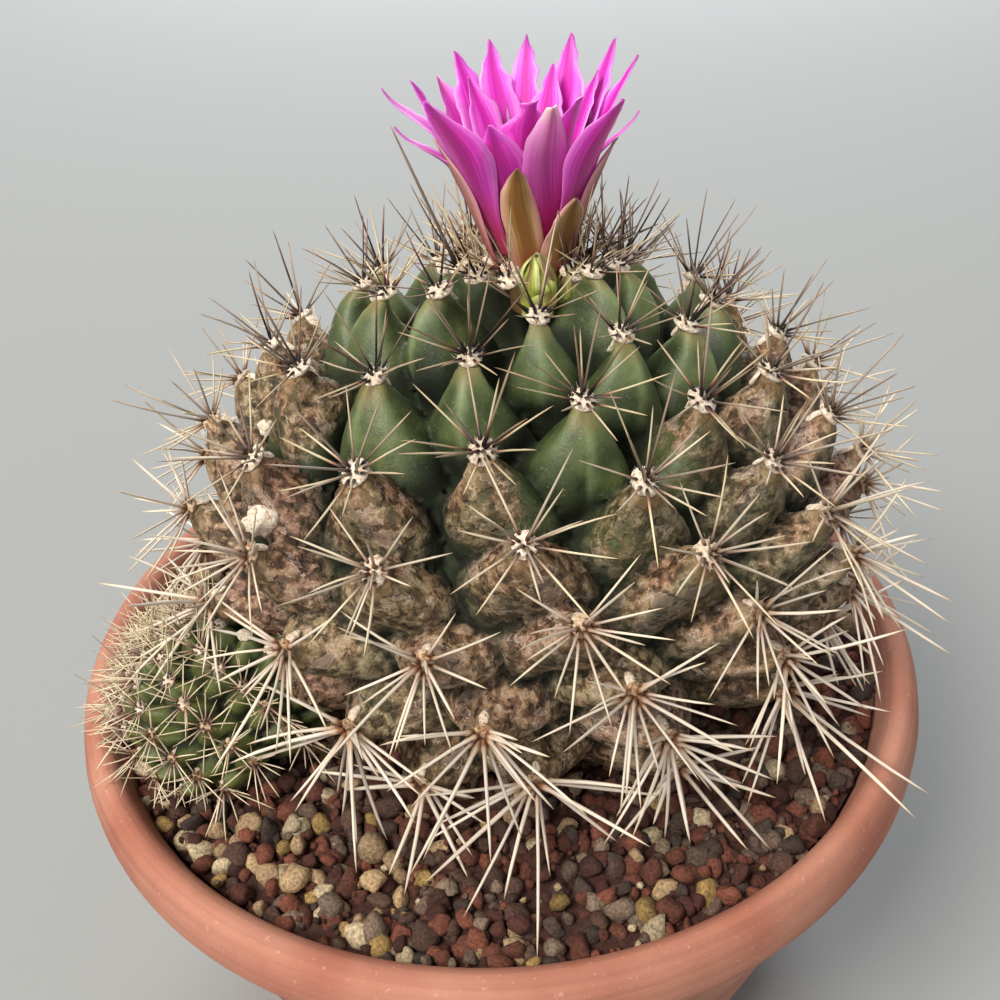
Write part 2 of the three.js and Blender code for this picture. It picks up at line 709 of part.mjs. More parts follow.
function makeStamens() {
  const random = seeded(23);
  const floor = TUBE_HEIGHT + THROAT_HEIGHT + FIT_GAP;
  const parts = [solidOf(turned(STYLE_PROFILE.map(([r, z]) => [r, z + floor]), 10))];
  for (let k = 0; k < STAMEN_COUNT; k += 1) {
    const angle = k * 2 * Math.PI / STAMEN_COUNT;
    const lean = 0.06 + 0.1 * random();
    const root = new THREE.Vector3(Math.cos(angle), Math.sin(angle), 0).multiplyScalar(STAMEN_CIRCLE);
    const frame = {
      point: root.setZ(floor + STAMEN_ROOT),
      out: new THREE.Vector3(Math.cos(angle) * lean, Math.sin(angle) * lean, 1).normalize(),
      side: new THREE.Vector3(-Math.sin(angle), Math.cos(angle), 0),
    };
    frame.up = new THREE.Vector3().crossVectors(frame.out, frame.side);
    const section = (size, z) => [90, 210, 330].map((a) => (
      placed(frame, size * Math.cos(a * DEG), size * Math.sin(a * DEG), z)));
    const rings = [section(FILAMENT_RADIUS, 0), section(ANTHER_RADIUS, STAMEN_LENGTH - 1)];
    parts.push(loft(rings, placed(frame, 0, 0, -0.2), placed(frame, 0, 0, STAMEN_LENGTH)));
  }
  return largestBody(joined(parts));
}

function makeBud() {
  const foot = -SOCKET_DEPTH + FIT_GAP;
  const profile = [[0, foot], [BUD_FOOT_RADIUS, foot], [BUD_FOOT_RADIUS, 0], [BUD_RADIUS * 0.95, 3],
    [BUD_RADIUS, 7], [BUD_RADIUS * 0.72, 11], [0, BUD_HEIGHT]];
  const scales = BUD_SCALE_RINGS.flatMap((ring, k) => (
    blades([ring], ring.height, BUD_SCALE_THICKNESS, 31 + k)));
  const whole = joined([solidOf(turned(profile, 10)), ...scales]);
  return largestBody(whole).translate([BUD_BASE.x, BUD_BASE.y, BUD_BASE.z]);
}

// The object

function finish(color, roughness) {
  return new THREE.MeshStandardMaterial({ color, roughness, metalness: 0 });
}

const plant = new THREE.Group();
const stemNeedles = [];
plant.add(meshOf('pot', makePot(), finish(0xc8896c, 0.85)));
plant.add(meshOf('substrate', makeSubstrate(), finish(0x7e4a3a, 0.95)));
plant.add(meshOf('stem', makeStem(stemNeedles), finish(0x55603f, 0.7)));
plant.add(meshOf('offset', makeOffset(stemNeedles), finish(0x4f6b3a, 0.65)));
plant.add(meshOf('bloom_tube', inFlower(makeTube(PETAL_THICKNESS)), finish(0x8a6a3a, 0.6)));
plant.add(meshOf('bloom_petals', inFlower(makePetals()), finish(0xd040c0, 0.5)));
plant.add(meshOf('bloom_stamens', inFlower(makeStamens()), finish(0xe6c84a, 0.6)));
plant.add(meshOf('bud', makeBud(), finish(0x9aa84a, 0.6)));

export default plant;
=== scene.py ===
"""A spiny globular cactus in flower, with a young offset, in a terracotta bowl pot of mineral grit.

Sizes are in millimetres inside this script and become metres where a mesh is made. +Z is up, the pot
stands on z = 0, and the front of the plant looks along -Y.
"""

from __future__ import annotations

import itertools
import logging
import math
from collections.abc import Callable, Sequence
from dataclasses import dataclass, field
from enum import Enum
from functools import partial

import bpy
import numpy as np
from bpy.types import Material, NodeSocket, NodeTree, Object
from mathutils import Matrix, Quaternion, Vector, noise
from mathutils.bvhtree import BVHTree
from mathutils.kdtree import KDTree
from numpy.random import Generator

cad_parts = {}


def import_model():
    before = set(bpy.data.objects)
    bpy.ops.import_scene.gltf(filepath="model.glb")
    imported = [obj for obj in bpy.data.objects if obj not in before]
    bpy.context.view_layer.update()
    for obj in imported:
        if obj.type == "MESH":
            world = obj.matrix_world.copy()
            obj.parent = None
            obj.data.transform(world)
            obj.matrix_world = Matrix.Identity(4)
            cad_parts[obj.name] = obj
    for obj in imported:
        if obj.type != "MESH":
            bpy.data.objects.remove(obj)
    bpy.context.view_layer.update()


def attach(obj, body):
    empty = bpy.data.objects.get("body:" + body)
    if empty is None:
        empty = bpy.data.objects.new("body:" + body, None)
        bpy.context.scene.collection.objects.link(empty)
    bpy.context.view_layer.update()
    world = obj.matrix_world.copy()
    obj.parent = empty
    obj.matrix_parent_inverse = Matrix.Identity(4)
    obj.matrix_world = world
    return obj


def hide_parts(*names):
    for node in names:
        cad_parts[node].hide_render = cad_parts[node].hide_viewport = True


log = logging.getLogger("plant")

MM = 0.001
UP = Vector((0, 0, 1))
BODY = "root"

Array = np.ndarray
AddNode = Callable[..., NodeSocket]
Ramp = tuple[tuple[float, str], ...]
Row = tuple[float, ...]
PointMover = Callable[[Array], Array]

# What a kind of node is set to unless a call says otherwise: mixes of colours, and products
USUAL_SETTINGS = {
    "Mix": {"data_type": "RGBA"}, "Math": {"operation": "MULTIPLY"}, "VectorMath": {"operation": "MULTIPLY"}
}

# Driving sizes of the pot and the grit, as in the solids
POT_HEIGHT = 90.0
RIM_RADIUS = 90.0
RIM_INNER_RADIUS = 83.0
COLLAR_HEIGHT = 15.5
COLLAR_LIP = 4.0
LIP_STEP = 0.8
BASE_RADIUS = 62.0
FLOOR_THICKNESS = 6.0
WALL_THICKNESS = 5.0
DRAIN_RADIUS = 5.0
DRAIN_CIRCLE = 34.0
DRAIN_COUNT = 4
GRIT_TOP = POT_HEIGHT - 7.0
PLANT_FLOOR = GRIT_TOP + 1.4


# Small helpers


def linear(hex_colour: str) -> tuple[float, float, float, float]:
    """Turns an sRGB hex colour into linear RGBA.

    Args:
        hex_colour: A colour such as "#C8896C".

    Returns:
        Linear red, green and blue, and an alpha of 1.
    """
    parts = [int(hex_colour[k : k + 2], 16) / 255 for k in (1, 3, 5)]
    red, green, blue = [p / 12.92 if p <= 0.04045 else ((p + 0.055) / 1.055) ** 2.4 for p in parts]
    return red, green, blue, 1.0


def add_node(
    tree: NodeTree, kind: str, inputs: dict[str, object] | tuple[object, ...] = (), stops: Ramp = (),
    output: str = "", **settings: object,
) -> NodeSocket:
    """Adds one node with its settings, values and links.

    Args:
        tree: The node tree of a material.
        kind: The node's Blender type, without "ShaderNode".
        inputs: A socket or a plain value for each named input, or for the first inputs in their order.
        stops: Places and hex colours of a colour ramp.
        output: The name of the output that is wanted, if it isn't the first in use.
        **settings: Properties of the node itself.

    Returns:
        The node's output.
    """
    node = tree.nodes.new(f"ShaderNode{kind}")
    for name, value in {**USUAL_SETTINGS.get(kind, {}), **settings}.items():
        setattr(node, name, value)
    for key, value in inputs.items() if isinstance(inputs, dict) else enumerate(inputs):
        socket = next(s for k, s in enumerate(node.inputs) if key == k or (key == s.name and s.enabled))
        if isinstance(value, NodeSocket):
            tree.links.new(value, socket)
        else:
            socket.default_value = linear(value) if isinstance(value, str) else value
    for k, (place, colour) in enumerate(stops):
        elements = node.color_ramp.elements
        element = elements[k] if k < len(elements) else elements.new(1.0)
        element.position = place
        element.color = linear(colour)
    return node.outputs[output] if output else next(s for s in node.outputs if s.enabled)


def linked(name: str, data: bpy.types.ID) -> Object:
    """Makes an object of its data and links it to the scene."""
    obj = bpy.data.objects.new(name, data)
    bpy.context.scene.collection.objects.link(obj)
    return obj


def activate(obj: Object | None = None) -> None:
    """Leaves no object selected but the given one, and makes it the active one."""
    if bpy.context.object and bpy.context.object.mode != "OBJECT":
        bpy.ops.object.mode_set(mode="OBJECT")
    bpy.ops.object.select_all(action="DESELECT")
    if obj:
        bpy.context.view_layer.objects.active = obj
        obj.select_set(True)


def apply_modifier(obj: Object, kind: str, **settings: object) -> None:
    """Adds a modifier to an object and applies it.

    Args:
        obj: The object that gets the modifier.
        kind: The modifier's Blender type.
        **settings: Properties of the modifier.
    """
    modifier = obj.modifiers.new(kind.title(), kind)
    for name, value in settings.items():
        setattr(modifier, name, value)
    activate(obj)
    bpy.ops.object.modifier_apply(modifier=modifier.name)


def primitive(kind: str, **settings: object) -> Object:
    """Adds one of Blender's own meshes, with its place in its points."""
    activate()
    getattr(bpy.ops.mesh, f"primitive_{kind}_add")(**settings)
    bpy.ops.object.transform_apply(location=True)
    return bpy.context.object


def close_mesh(merge: float = 0.0) -> None:
    """Merges doubled points of the mesh being edited, turns its faces outward and ends the editing."""
    bpy.ops.mesh.select_all(action="SELECT")
    if merge:
        bpy.ops.mesh.remove_doubles(threshold=merge)
    bpy.ops.mesh.normals_make_consistent(inside=False)
    bpy.ops.object.mode_set(mode="OBJECT")


def turned(name: str, section: list[Vector], steps: int, merge: float) -> Object:
    """Turns a section round the Z axis.

    Args:
        name: The object's name.
        section: Its points from one end to the other.
        steps: How many sides the turned body has.
        merge: How near points are that become one.

    Returns:
        The closed body.
    """
    mesh = bpy.data.meshes.new(f"{name}_section")
    mesh.from_pydata(section, [(k, k + 1) for k in range(len(section) - 1)], [])
    body = linked(name, mesh)
    activate(body)
    bpy.ops.object.mode_set(mode="EDIT")
    bpy.ops.mesh.select_all(action="SELECT")
    bpy.ops.mesh.spin(steps=steps, angle=math.tau, center=(0, 0, 0), axis=(0, 0, 1))
    close_mesh(merge)
    return body


def drawn_rod(sides: int, stations: Sequence[tuple[float, float]]) -> Object:
    """Draws a rod upward through stations of a height and a radius, with a loop at each."""
    height, radius = stations[0]
    rod = primitive("circle", vertices=sides, radius=radius, fill_type="NGON", location=(0, 0, height))
    bpy.ops.object.mode_set(mode="EDIT")
    bpy.ops.mesh.select_all(action="SELECT")
    for (z0, r0), (z1, r1) in zip(stations, stations[1:]):
        bpy.ops.mesh.extrude_region_move(TRANSFORM_OT_translate={"value": (0, 0, z1 - z0)})
        if r1 != r0:
            bpy.ops.transform.resize(value=(r1 / r0, r1 / r0, 1), center_override=(0, 0, z1))
    close_mesh()
    return rod


def toward(angle: float, rise: float = 0.0) -> Vector:
    """A step of unit length from the axis at an angle, with a rise of its own."""
    return Vector((math.cos(angle), math.sin(angle), rise))


def rows_along(direction: Vector, width: float, length: float) -> Array:
    """The rows that lay a unit thread along a direction, at its own width and length."""
    across = direction.orthogonal().normalized()
    return np.array([across * width, direction.cross(across) * width, direction * length])


def smoothstep(low: float, high: float, value: Array | float) -> Array:
    """Rises smoothly from 0 at low to 1 at high."""
    share = np.clip((np.asarray(value, float) - low) / (high - low), 0, 1)
    return share * share * (3 - 2 * share)


def noise_at(points: Array, size: float, seed: float = 0.0) -> Array:
    """Samples smooth noise between about -1 and 1.

    Args:
        points: Places in millimetres, one a row.
        size: The size of a lump in millimetres.
        seed: Moves the pattern, so that two patterns differ.

    Returns:
        One number for each point.
    """
    shift = Vector((seed * 7.3, seed * 3.1, seed * 5.7))
    return np.array([noise.noise(Vector(p) / size + shift) for p in points])


@dataclass
class Shape:
    """A mesh as plain arrays, in millimetres, with named numbers for its points."""

    points: Array
    corners: Array
    sizes: Array
    values: dict[str, Array] = field(default_factory=dict)

    @classmethod
    def taken_from(cls, obj: Object) -> Shape:
        """Reads an object's mesh and removes the object."""
        mesh = obj.data
        points = np.empty(len(mesh.vertices) * 3)
        mesh.vertices.foreach_get("co", points)
        corners = np.empty(len(mesh.loops), int)
        mesh.loops.foreach_get("vertex_index", corners)
        sizes = np.empty(len(mesh.polygons), int)
        mesh.polygons.foreach_get("loop_total", sizes)
        bpy.data.objects.remove(obj)
        return cls(points.reshape(-1, 3), corners, sizes)

    def moved(self, points: Array, **values: object) -> Shape:
        """Copies the shape with its points in new places and with numbers of its own."""
        count = len(points)
        numbers = {name: np.broadcast_to(np.asarray(v, float), count) for name, v in values.items()}
        return Shape(points, self.corners, self.sizes, {**self.values, **numbers})

    def placed(self, at: Vector, axes: Array, **values: object) -> Shape:
        """Copies the shape to a place, with its own axes along the rows of a matrix."""
        return self.moved(self.points @ axes + np.array(at), **values)


def joined(shapes: list[Shape]) -> Shape:
    """Puts shapes together as one."""
    firsts = np.cumsum([0] + [len(s.points) for s in shapes[:-1]])
    names = shapes[0].values
    return Shape(
        np.concatenate([s.points for s in shapes]),
        np.concatenate([s.corners + first for s, first in zip(shapes, firsts)]),
        np.concatenate([s.sizes for s in shapes]),
        {name: np.concatenate([s.values[name] for s in shapes]) for name in names},
    )


def made_object(name: str, shape: Shape, material: Material | None = None) -> Object:
    """Makes a Blender object of a shape, in metres.

    Args:
        name: The object's name.
        shape: The mesh, in millimetres, whose numbers become point attributes.
        material: The finish, if the object has one.

    Returns:
        The new object, at the origin.
    """
    mesh = bpy.data.meshes.new(name)
    mesh.vertices.add(len(shape.points))
    mesh.vertices.foreach_set("co", (shape.points * MM).ravel())
    mesh.loops.add(len(shape.corners))
    mesh.loops.foreach_set("vertex_index", shape.corners.astype(np.int32))
    mesh.polygons.add(len(shape.sizes))
    starts = np.concatenate([[0], np.cumsum(shape.sizes)[:-1]])
    mesh.polygons.foreach_set("loop_start", starts.astype(np.int32))
    mesh.update(calc_edges=True)
    for value_name, numbers in shape.values.items():
        attribute = mesh.attributes.new(value_name, "FLOAT", "POINT")
        attribute.data.foreach_set("value", np.asarray(numbers, np.float32))
    mesh.shade_smooth()
    if material:
        mesh.materials.append(material)
    return linked(name, mesh)


def fitted(obj: Object, slot: str, *nodes: str) -> Object:
    """Ties a piece to the body and hides the nodes that it stands for."""
    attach(obj, BODY)
    if nodes:
        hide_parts(*nodes)
    faces = sum(len(p.vertices) - 2 for p in obj.data.polygons)
    log.info("%s: %d triangles", obj.name, faces)
    return obj


def started_material(name: str, **settings: object) -> tuple[Material, AddNode]:
    """Starts a material with one shader.

    Args:
        name: The name of the real material.
        **settings: Values of the shader's own sockets, with underscores for spaces.

    Returns:
        The material, and add_node for its own node tree.
    """
    material = bpy.data.materials.new(name)
    material.use_nodes = True
    shader = material.node_tree.nodes["Principled BSDF"]
    for key, value in settings.items():
        shader.inputs[key.replace("_", " ")].default_value = value
    return material, partial(add_node, material.node_tree)


def linked_shader(material: Material, **sockets: NodeSocket) -> Material:
    """Links colours, roughness and normals into a material's shader and hands the material back."""
    shader = material.node_tree.nodes["Principled BSDF"]
    for key, socket in sockets.items():
        material.node_tree.links.new(socket, shader.inputs[key.replace("_", " ")])
    return material


# Areoles: where the tubercles, wool and spines grow


@dataclass(frozen=True)
class Areole:
    """One areole: its place, the way it faces, and the room it has."""

    point: Vector
    out: Vector
    side: Vector
    up: Vector
    age: float
    rib_spacing: float
    level_spacing: float

    @property
    def life(self) -> float:
        """The age, kept from 0 to 1."""
        return min(max(self.age, 0.0), 1.0)

    def axes(self) -> Array:
        """The areole's side, up and out as the rows of a matrix."""
        return np.array([self.side, self.up, self.out])

    def spot(self, x: float, y: float, z: float) -> Vector:
        """A place given by its distances along side, up and out."""
        return self.point + self.side * x + self.up * y + self.out * z


@dataclass(frozen=True)
class Lattice:
    """Slanting ribs of areoles on a leaning surface of revolution, as in the solids."""

    centre: Vector
    axis: Vector
    ribs: int
    levels_per_turn: int
    first_rib: float
    twist: float
    top_level: float
    bottom_level: float
    crown_height: float
    tubercle_height: float
    buried: float
    outline: Callable[[float], tuple[float, float]]
    front_drop: float = 0.0
    side_crowding: float = 0.0
    back_crowding: float = 0.0
    steps: int = 12
    uplift: float = 0.12
    grown_age: float = 0.4

    def turn(self) -> Quaternion:
        """The turn from upright to the body's own axis."""
        return UP.rotation_difference(self.axis)

    def height(self, age: float) -> float:
        """How far a tubercle of that age stands out."""
        share = min(1.0, age / self.grown_age)
        return self.crown_height + (self.tubercle_height - self.crown_height) * share

    def age(self, level: float) -> float:
        """The age at a level, from 0 at the crown to 1 at the foot."""
        return (level - self.top_level) / (self.bottom_level - self.top_level)

    def normal(self, level: float) -> Vector:
        """Outward and upward parts of the outline's normal at a level."""
        (r0, z0), (r1, z1) = self.outline(level - 0.01), self.outline(level + 0.01)
        return Vector((z0 - z1, r1 - r0)).normalized()

    def areoles(self) -> list[Areole]:
        """All areoles that show above the grit."""
        found = []
        for rib in range(self.ribs):
            lag = self.levels_per_turn * rib / self.ribs
            for step in range(-self.steps, self.steps + 1):
                even = step + lag
                bearing = self.first_rib + rib * math.tau / self.ribs + self.twist * even
                level = even + self.front_drop * math.cos(bearing)
                if self.top_level <= level <= self.bottom_level:
                    backward = 1 - math.cos(bearing)
                    crowding = self.side_crowding * math.sin(bearing) + self.back_crowding * backward
                    areole = self.areole(level, bearing + crowding)
                    if areole.point.z > GRIT_TOP - self.buried:
                        found.append(areole)
        return found

    def areole(self, level: float, azimuth: float) -> Areole:
        """The areole at a level and an azimuth round the body's axis."""
        radius, height = self.outline(level)
        normal = self.normal(level)
        side = toward(azimuth)
        away = Vector((side.y, -side.x, 0))
        out = (away * normal.x + UP * (normal.y + self.uplift)).normalized()
        (r0, z0), (r1, z1) = self.outline(level - 0.5), self.outline(level + 0.5)
        turn = self.turn()
        return Areole(
            point=turn @ (away * radius + UP * height) + self.centre, out=turn @ out, side=turn @ side,
            up=turn @ out.cross(side), age=self.age(level),
            rib_spacing=math.tau * radius / self.ribs, level_spacing=math.hypot(r1 - r0, z1 - z0),
        )


STEM_GIRTH, STEM_WIDEST_LEVEL, STEM_TAPER = 70, 2.45, 2.44
STEM_TOP, STEM_TOP_LEVEL, STEM_FALL = 105, -8.67, 0.61
OFFSET_RADIUS, OFFSET_SQUAT, OFFSET_LEVEL_DEGREES = 22.5, 0.92, 15


def stem_outline(level: float) -> tuple[float, float]:
    """Radius and height of the old stem's areoles at a level."""
    radius = STEM_GIRTH - STEM_TAPER * (level - STEM_WIDEST_LEVEL) ** 2
    return radius, STEM_TOP - STEM_FALL * (level - STEM_TOP_LEVEL) ** 2


def offset_outline(level: float) -> tuple[float, float]:
    """Radius and height of the offset's areoles at a level."""
    angle = math.radians(OFFSET_LEVEL_DEGREES * level)
    return OFFSET_RADIUS * math.sin(angle), OFFSET_RADIUS * OFFSET_SQUAT * math.cos(angle)


STEM = Lattice(
    centre=Vector((7, 6, POT_HEIGHT)), axis=Vector((0.03, 0.13, 1)).normalized(), ribs=13,
    levels_per_turn=6, first_rib=math.radians(-3), twist=math.radians(8.3), top_level=-2.35,
    bottom_level=4.75, crown_height=10, tubercle_height=13, buried=3, outline=stem_outline, front_drop=0.7,
    side_crowding=-0.108, back_crowding=-0.144,
)
OFFSET = Lattice(
    centre=Vector((-54.5, -21, POT_HEIGHT + 2)), axis=Vector((-0.45, 0.5, 1)).normalized(), ribs=13,
    levels_per_turn=5, first_rib=0.0, twist=math.radians(6), top_level=0.9, bottom_level=8.6,
    crown_height=2.4, tubercle_height=4.0, buried=1, outline=offset_outline,
)

FLOWER_BASE = Vector((11.5, 17, 162))
FLOWER_AXIS = Vector((-0.09, 0, 1)).normalized()
TUBE_RADIUS = 5.4
TUBE_HEIGHT = 10.0
FLOWER_HEIGHT = 40.0
BUD_BASE = Vector((11.4, 5.5, 162))
BUD_RADIUS = 3.9
BUD_HEIGHT = 13.0


# Stage


@dataclass(frozen=True)
class Stage:
    """The camera at the photograph's angle, a plain pale floor and soft light."""

    tilt: float = 0.613977
    roll: float = -0.0548889
    offset_x: float = -0.732168
    offset_y: float = -27.3666
    distance: float = 264.6548
    lens: float = 43.2
    floor_colour: str = "#939593"
    floor_reach: float = 6.0

    def camera(self) -> None:
        """Adds the camera and makes it the scene's own."""
        right = Vector((1, 0, 0))
        up = Vector((0, math.sin(self.tilt), math.cos(self.tilt)))
        forward = Vector((0, math.cos(self.tilt), -math.sin(self.tilt)))
        cos_roll, sin_roll = math.cos(self.roll), math.sin(self.roll)
        rolled_right = right * cos_roll + up * sin_roll
        rolled_up = up * cos_roll - right * sin_roll
        place = -(rolled_right * self.offset_x + rolled_up * self.offset_y + forward * self.distance)
        place.z += POT_HEIGHT
        data = bpy.data.cameras.new("Camera")
        data.lens = self.lens
        data.clip_start = 0.01
        obj = linked("Camera", data)
        turn = Matrix((rolled_right, rolled_up, -forward)).transposed().to_4x4()
        obj.matrix_world = Matrix.Translation(place * MM) @ turn
        bpy.context.scene.camera = obj

    def floor(self) -> None:
        """Adds the floor with a plain matt finish."""
        floor = primitive("plane", size=2 * self.floor_reach)
        floor.name = "floor"
        card = {"Base_Color": linear(self.floor_colour), "Specular_IOR_Level": 0.1}
        material, _ = started_material("matt studio card", Roughness=0.95, **card)
        floor.data.materials.append(material)

    def lamp(self, name: str, place: Vector, aim: Vector, size: float, power: float, colour: str) -> None:
        """Adds a square area light.

        Args:
            name: The lamp's name.
            place: Where it hangs, in metres.
            aim: The point that it faces.
            size: The side of its square.
            power: Its power in watts.
            colour: Its hex colour.
        """
        data = bpy.data.lights.new(name, "AREA")
        data.size = size
        data.energy = power
        data.color = linear(colour)[:3]
        obj = linked(name, data)
        obj.location = place
        obj.rotation_euler = (aim - place).to_track_quat("-Z", "Y").to_euler()

    def build(self) -> None:
        """Adds the camera, the floor, the lamps and the sky light."""
        self.camera()
        self.floor()
        world = bpy.data.worlds.new("soft studio")
        world.use_nodes = True
        background = world.node_tree.nodes["Background"]
        background.inputs["Color"].default_value = linear("#EEF1F4")
        background.inputs["Strength"].default_value = 0.36
        bpy.context.scene.world = world
        bpy.context.scene.view_settings.view_transform = "Standard"
        plant = Vector((0, 0, 0.12))
        self.lamp("window", Vector((-1.15, -1.1, 2.15)), plant, 1.05, 83.0, "#FFF9F0")
        self.lamp("fill", Vector((0.1, -2.2, 1.1)), plant, 1.8, 13.0, "#F8F8FF")
        self.lamp("back", Vector((0.2, 1.92, 1.0)), Vector((0, 1.0, 0)), 1.1, 50.0, "#F6F8FF")


# Pot


@dataclass(frozen=True)
class TerracottaFinish:
    """Unglazed fired clay: matt, slightly mottled, with fine turning lines and pale lime specks."""

    light: str = "#BE846D"
    dark: str = "#A96853"
    lime: str = "#D9B7A0"

    def build(self) -> Material:
        """Makes the material."""
        material, node = started_material("unglazed terracotta", Roughness=0.86)
        place = node("TexCoord", output="Object")
        mottle = node("TexNoise", {"Vector": place, "Scale": 1 / 0.022, "Detail": 6})
        rings_at = node("Mapping", {"Vector": place, "Scale": (0.012, 0.012, 1.0)})
        rings = node("TexNoise", {"Vector": rings_at, "Scale": 1 / 0.0014, "Detail": 4})
        speck = node("TexNoise", {"Vector": place, "Scale": 1 / 0.0011, "Detail": 2})
        clay = node("ValToRGB", {"Fac": mottle}, stops=[(0.3, self.dark), (0.62, self.light)])
        lines = node("ValToRGB", {"Fac": rings}, stops=[(0.35, "#B9B9B9"), (0.6, "#FFFFFF")])
        lined = node("Mix", {"Factor": 0.36, "A": clay, "B": lines}, blend_type="MULTIPLY")
        spots = node("ValToRGB", {"Fac": speck}, stops=[(0.66, "#000000"), (0.74, "#9A9A9A")])
        speckled = node("Mix", {"Factor": spots, "A": lined, "B": self.lime})
        coarse = node("Bump", {"Height": rings, "Strength": 0.3, "Distance": 0.0004})
        pitted = node("Bump", {"Height": speck, "Strength": 0.25, "Distance": 0.0003, "Normal": coarse})
        return linked_shader(material, Base_Color=speckled, Normal=pitted)


@dataclass(frozen=True)
class Pot:
    """A turned bowl pot with a rounded collar and drain holes."""

    sides: int = 160
    bevel: float = 1.6

    def wall_radius(self, z: float) -> float:
        """Inner radius of the wall at a height."""
        share = (z - FLOOR_THICKNESS) / (POT_HEIGHT - COLLAR_LIP - FLOOR_THICKNESS)
        inner_base = BASE_RADIUS - WALL_THICKNESS
        return inner_base + (RIM_INNER_RADIUS - LIP_STEP - inner_base) * share

    def profile(self) -> list[tuple[float, float]]:
        """Radius and height of the section, from the base's centre round to the floor's centre."""
        under_collar = POT_HEIGHT - COLLAR_HEIGHT
        lip = POT_HEIGHT - COLLAR_LIP
        return [
            (0.0, 0.0), (BASE_RADIUS - 0.2, 0.0),
            (self.wall_radius(under_collar) + WALL_THICKNESS, under_collar - 2.5),
            (RIM_RADIUS - 2.4, under_collar - 0.4), (RIM_RADIUS - 0.1, under_collar + 4.5),
            (RIM_RADIUS, under_collar + 8.0), (RIM_RADIUS - 0.9, POT_HEIGHT - 3.0),
            (RIM_RADIUS - 3.2, POT_HEIGHT), (RIM_INNER_RADIUS + 1.5, POT_HEIGHT - 0.4),
            (RIM_INNER_RADIUS, POT_HEIGHT - 2.4), (self.wall_radius(lip), lip - 1.0),
            (self.wall_radius(FLOOR_THICKNESS), FLOOR_THICKNESS), (0.0, FLOOR_THICKNESS),
        ]

    def build(self) -> Object:
        """Turns the section, rounds its edges and drills the drain holes."""
        section = [Vector((r, 0, z)) * MM for r, z in self.profile()]
        pot = turned("terracotta_pot", section, self.sides, merge=1e-5)
        apply_modifier(
            pot, "BEVEL", width=self.bevel * MM, segments=3, limit_method="ANGLE",
            angle_limit=math.radians(18),
        )
        for k in range(DRAIN_COUNT):
            angle = (k + 0.5) * math.tau / DRAIN_COUNT
            drill = primitive(
                "cylinder", vertices=40, radius=DRAIN_RADIUS * MM, depth=4 * FLOOR_THICKNESS * MM,
                location=toward(angle) * DRAIN_CIRCLE * MM,
            )
            apply_modifier(pot, "BOOLEAN", object=drill, operation="DIFFERENCE", solver="EXACT")
            bpy.data.objects.remove(drill)
        pot.data.materials.append(TerracottaFinish().build())
        activate(pot)
        bpy.ops.object.shade_smooth_by_angle(angle=math.radians(35))
        return fitted(pot, "terracotta", "pot")


# Grit


@dataclass(frozen=True)
class GritFinish:
    """Loose mineral grains: red-brown lava, grey-brown rock, tan and yellow pumice. Dull and porous."""

    rocks: Ramp = (
        (0.0, "#4E2A21"), (0.16, "#683A2C"), (0.34, "#7C4634"), (0.48, "#5A4034"), (0.6, "#6E584A"),
        (0.7, "#84705E"), (0.76, "#4A3C34"), (0.84, "#AC8C54"), (0.88, "#B89A74"), (0.95, "#CBB794"),
    )

    def build(self) -> Material:
        """Makes the material, whose colours follow each grain's kind and tone."""
        material, node = started_material("lava and pumice grit", Roughness=0.93)
        place = node("TexCoord", output="Object")
        kind = node("Attribute", output="Fac", attribute_name="kind")
        tone = node("Attribute", output="Fac", attribute_name="tone")
        palette = node("ValToRGB", {"Fac": kind}, stops=self.rocks)
        palette.node.color_ramp.interpolation = "CONSTANT"
        pores = node("TexNoise", {"Vector": place, "Scale": 1 / 0.0006, "Detail": 4})
        stain = node("TexNoise", {"Vector": place, "Scale": 1 / 0.003, "Detail": 2})
        # Painted shade: the pores darken the rock's colour, and worn is the rock's colour with this shade
        shade = node("ValToRGB", {"Fac": pores}, stops=[(0.3, "#7A7A7A"), (0.65, "#FFFFFF")])
        worn = node("Mix", {"Factor": 0.8, "A": palette, "B": shade}, blend_type="MULTIPLY")
        amount = node("MapRange", {"Value": tone, "To Min": 0.68, "To Max": 1.25})
        toned = node("HueSaturation", {"Value": amount, "Color": worn})
        dusty = node("ValToRGB", {"Fac": stain}, stops=[(0.55, "#000000"), (0.75, "#4A4A4A")])
        final = node("Mix", {"Factor": dusty, "A": toned, "B": "#A08872"})
        bump = node("Bump", {"Height": pores, "Strength": 0.6, "Distance": 0.0004})
        return linked_shader(material, Base_Color=final, Normal=bump)


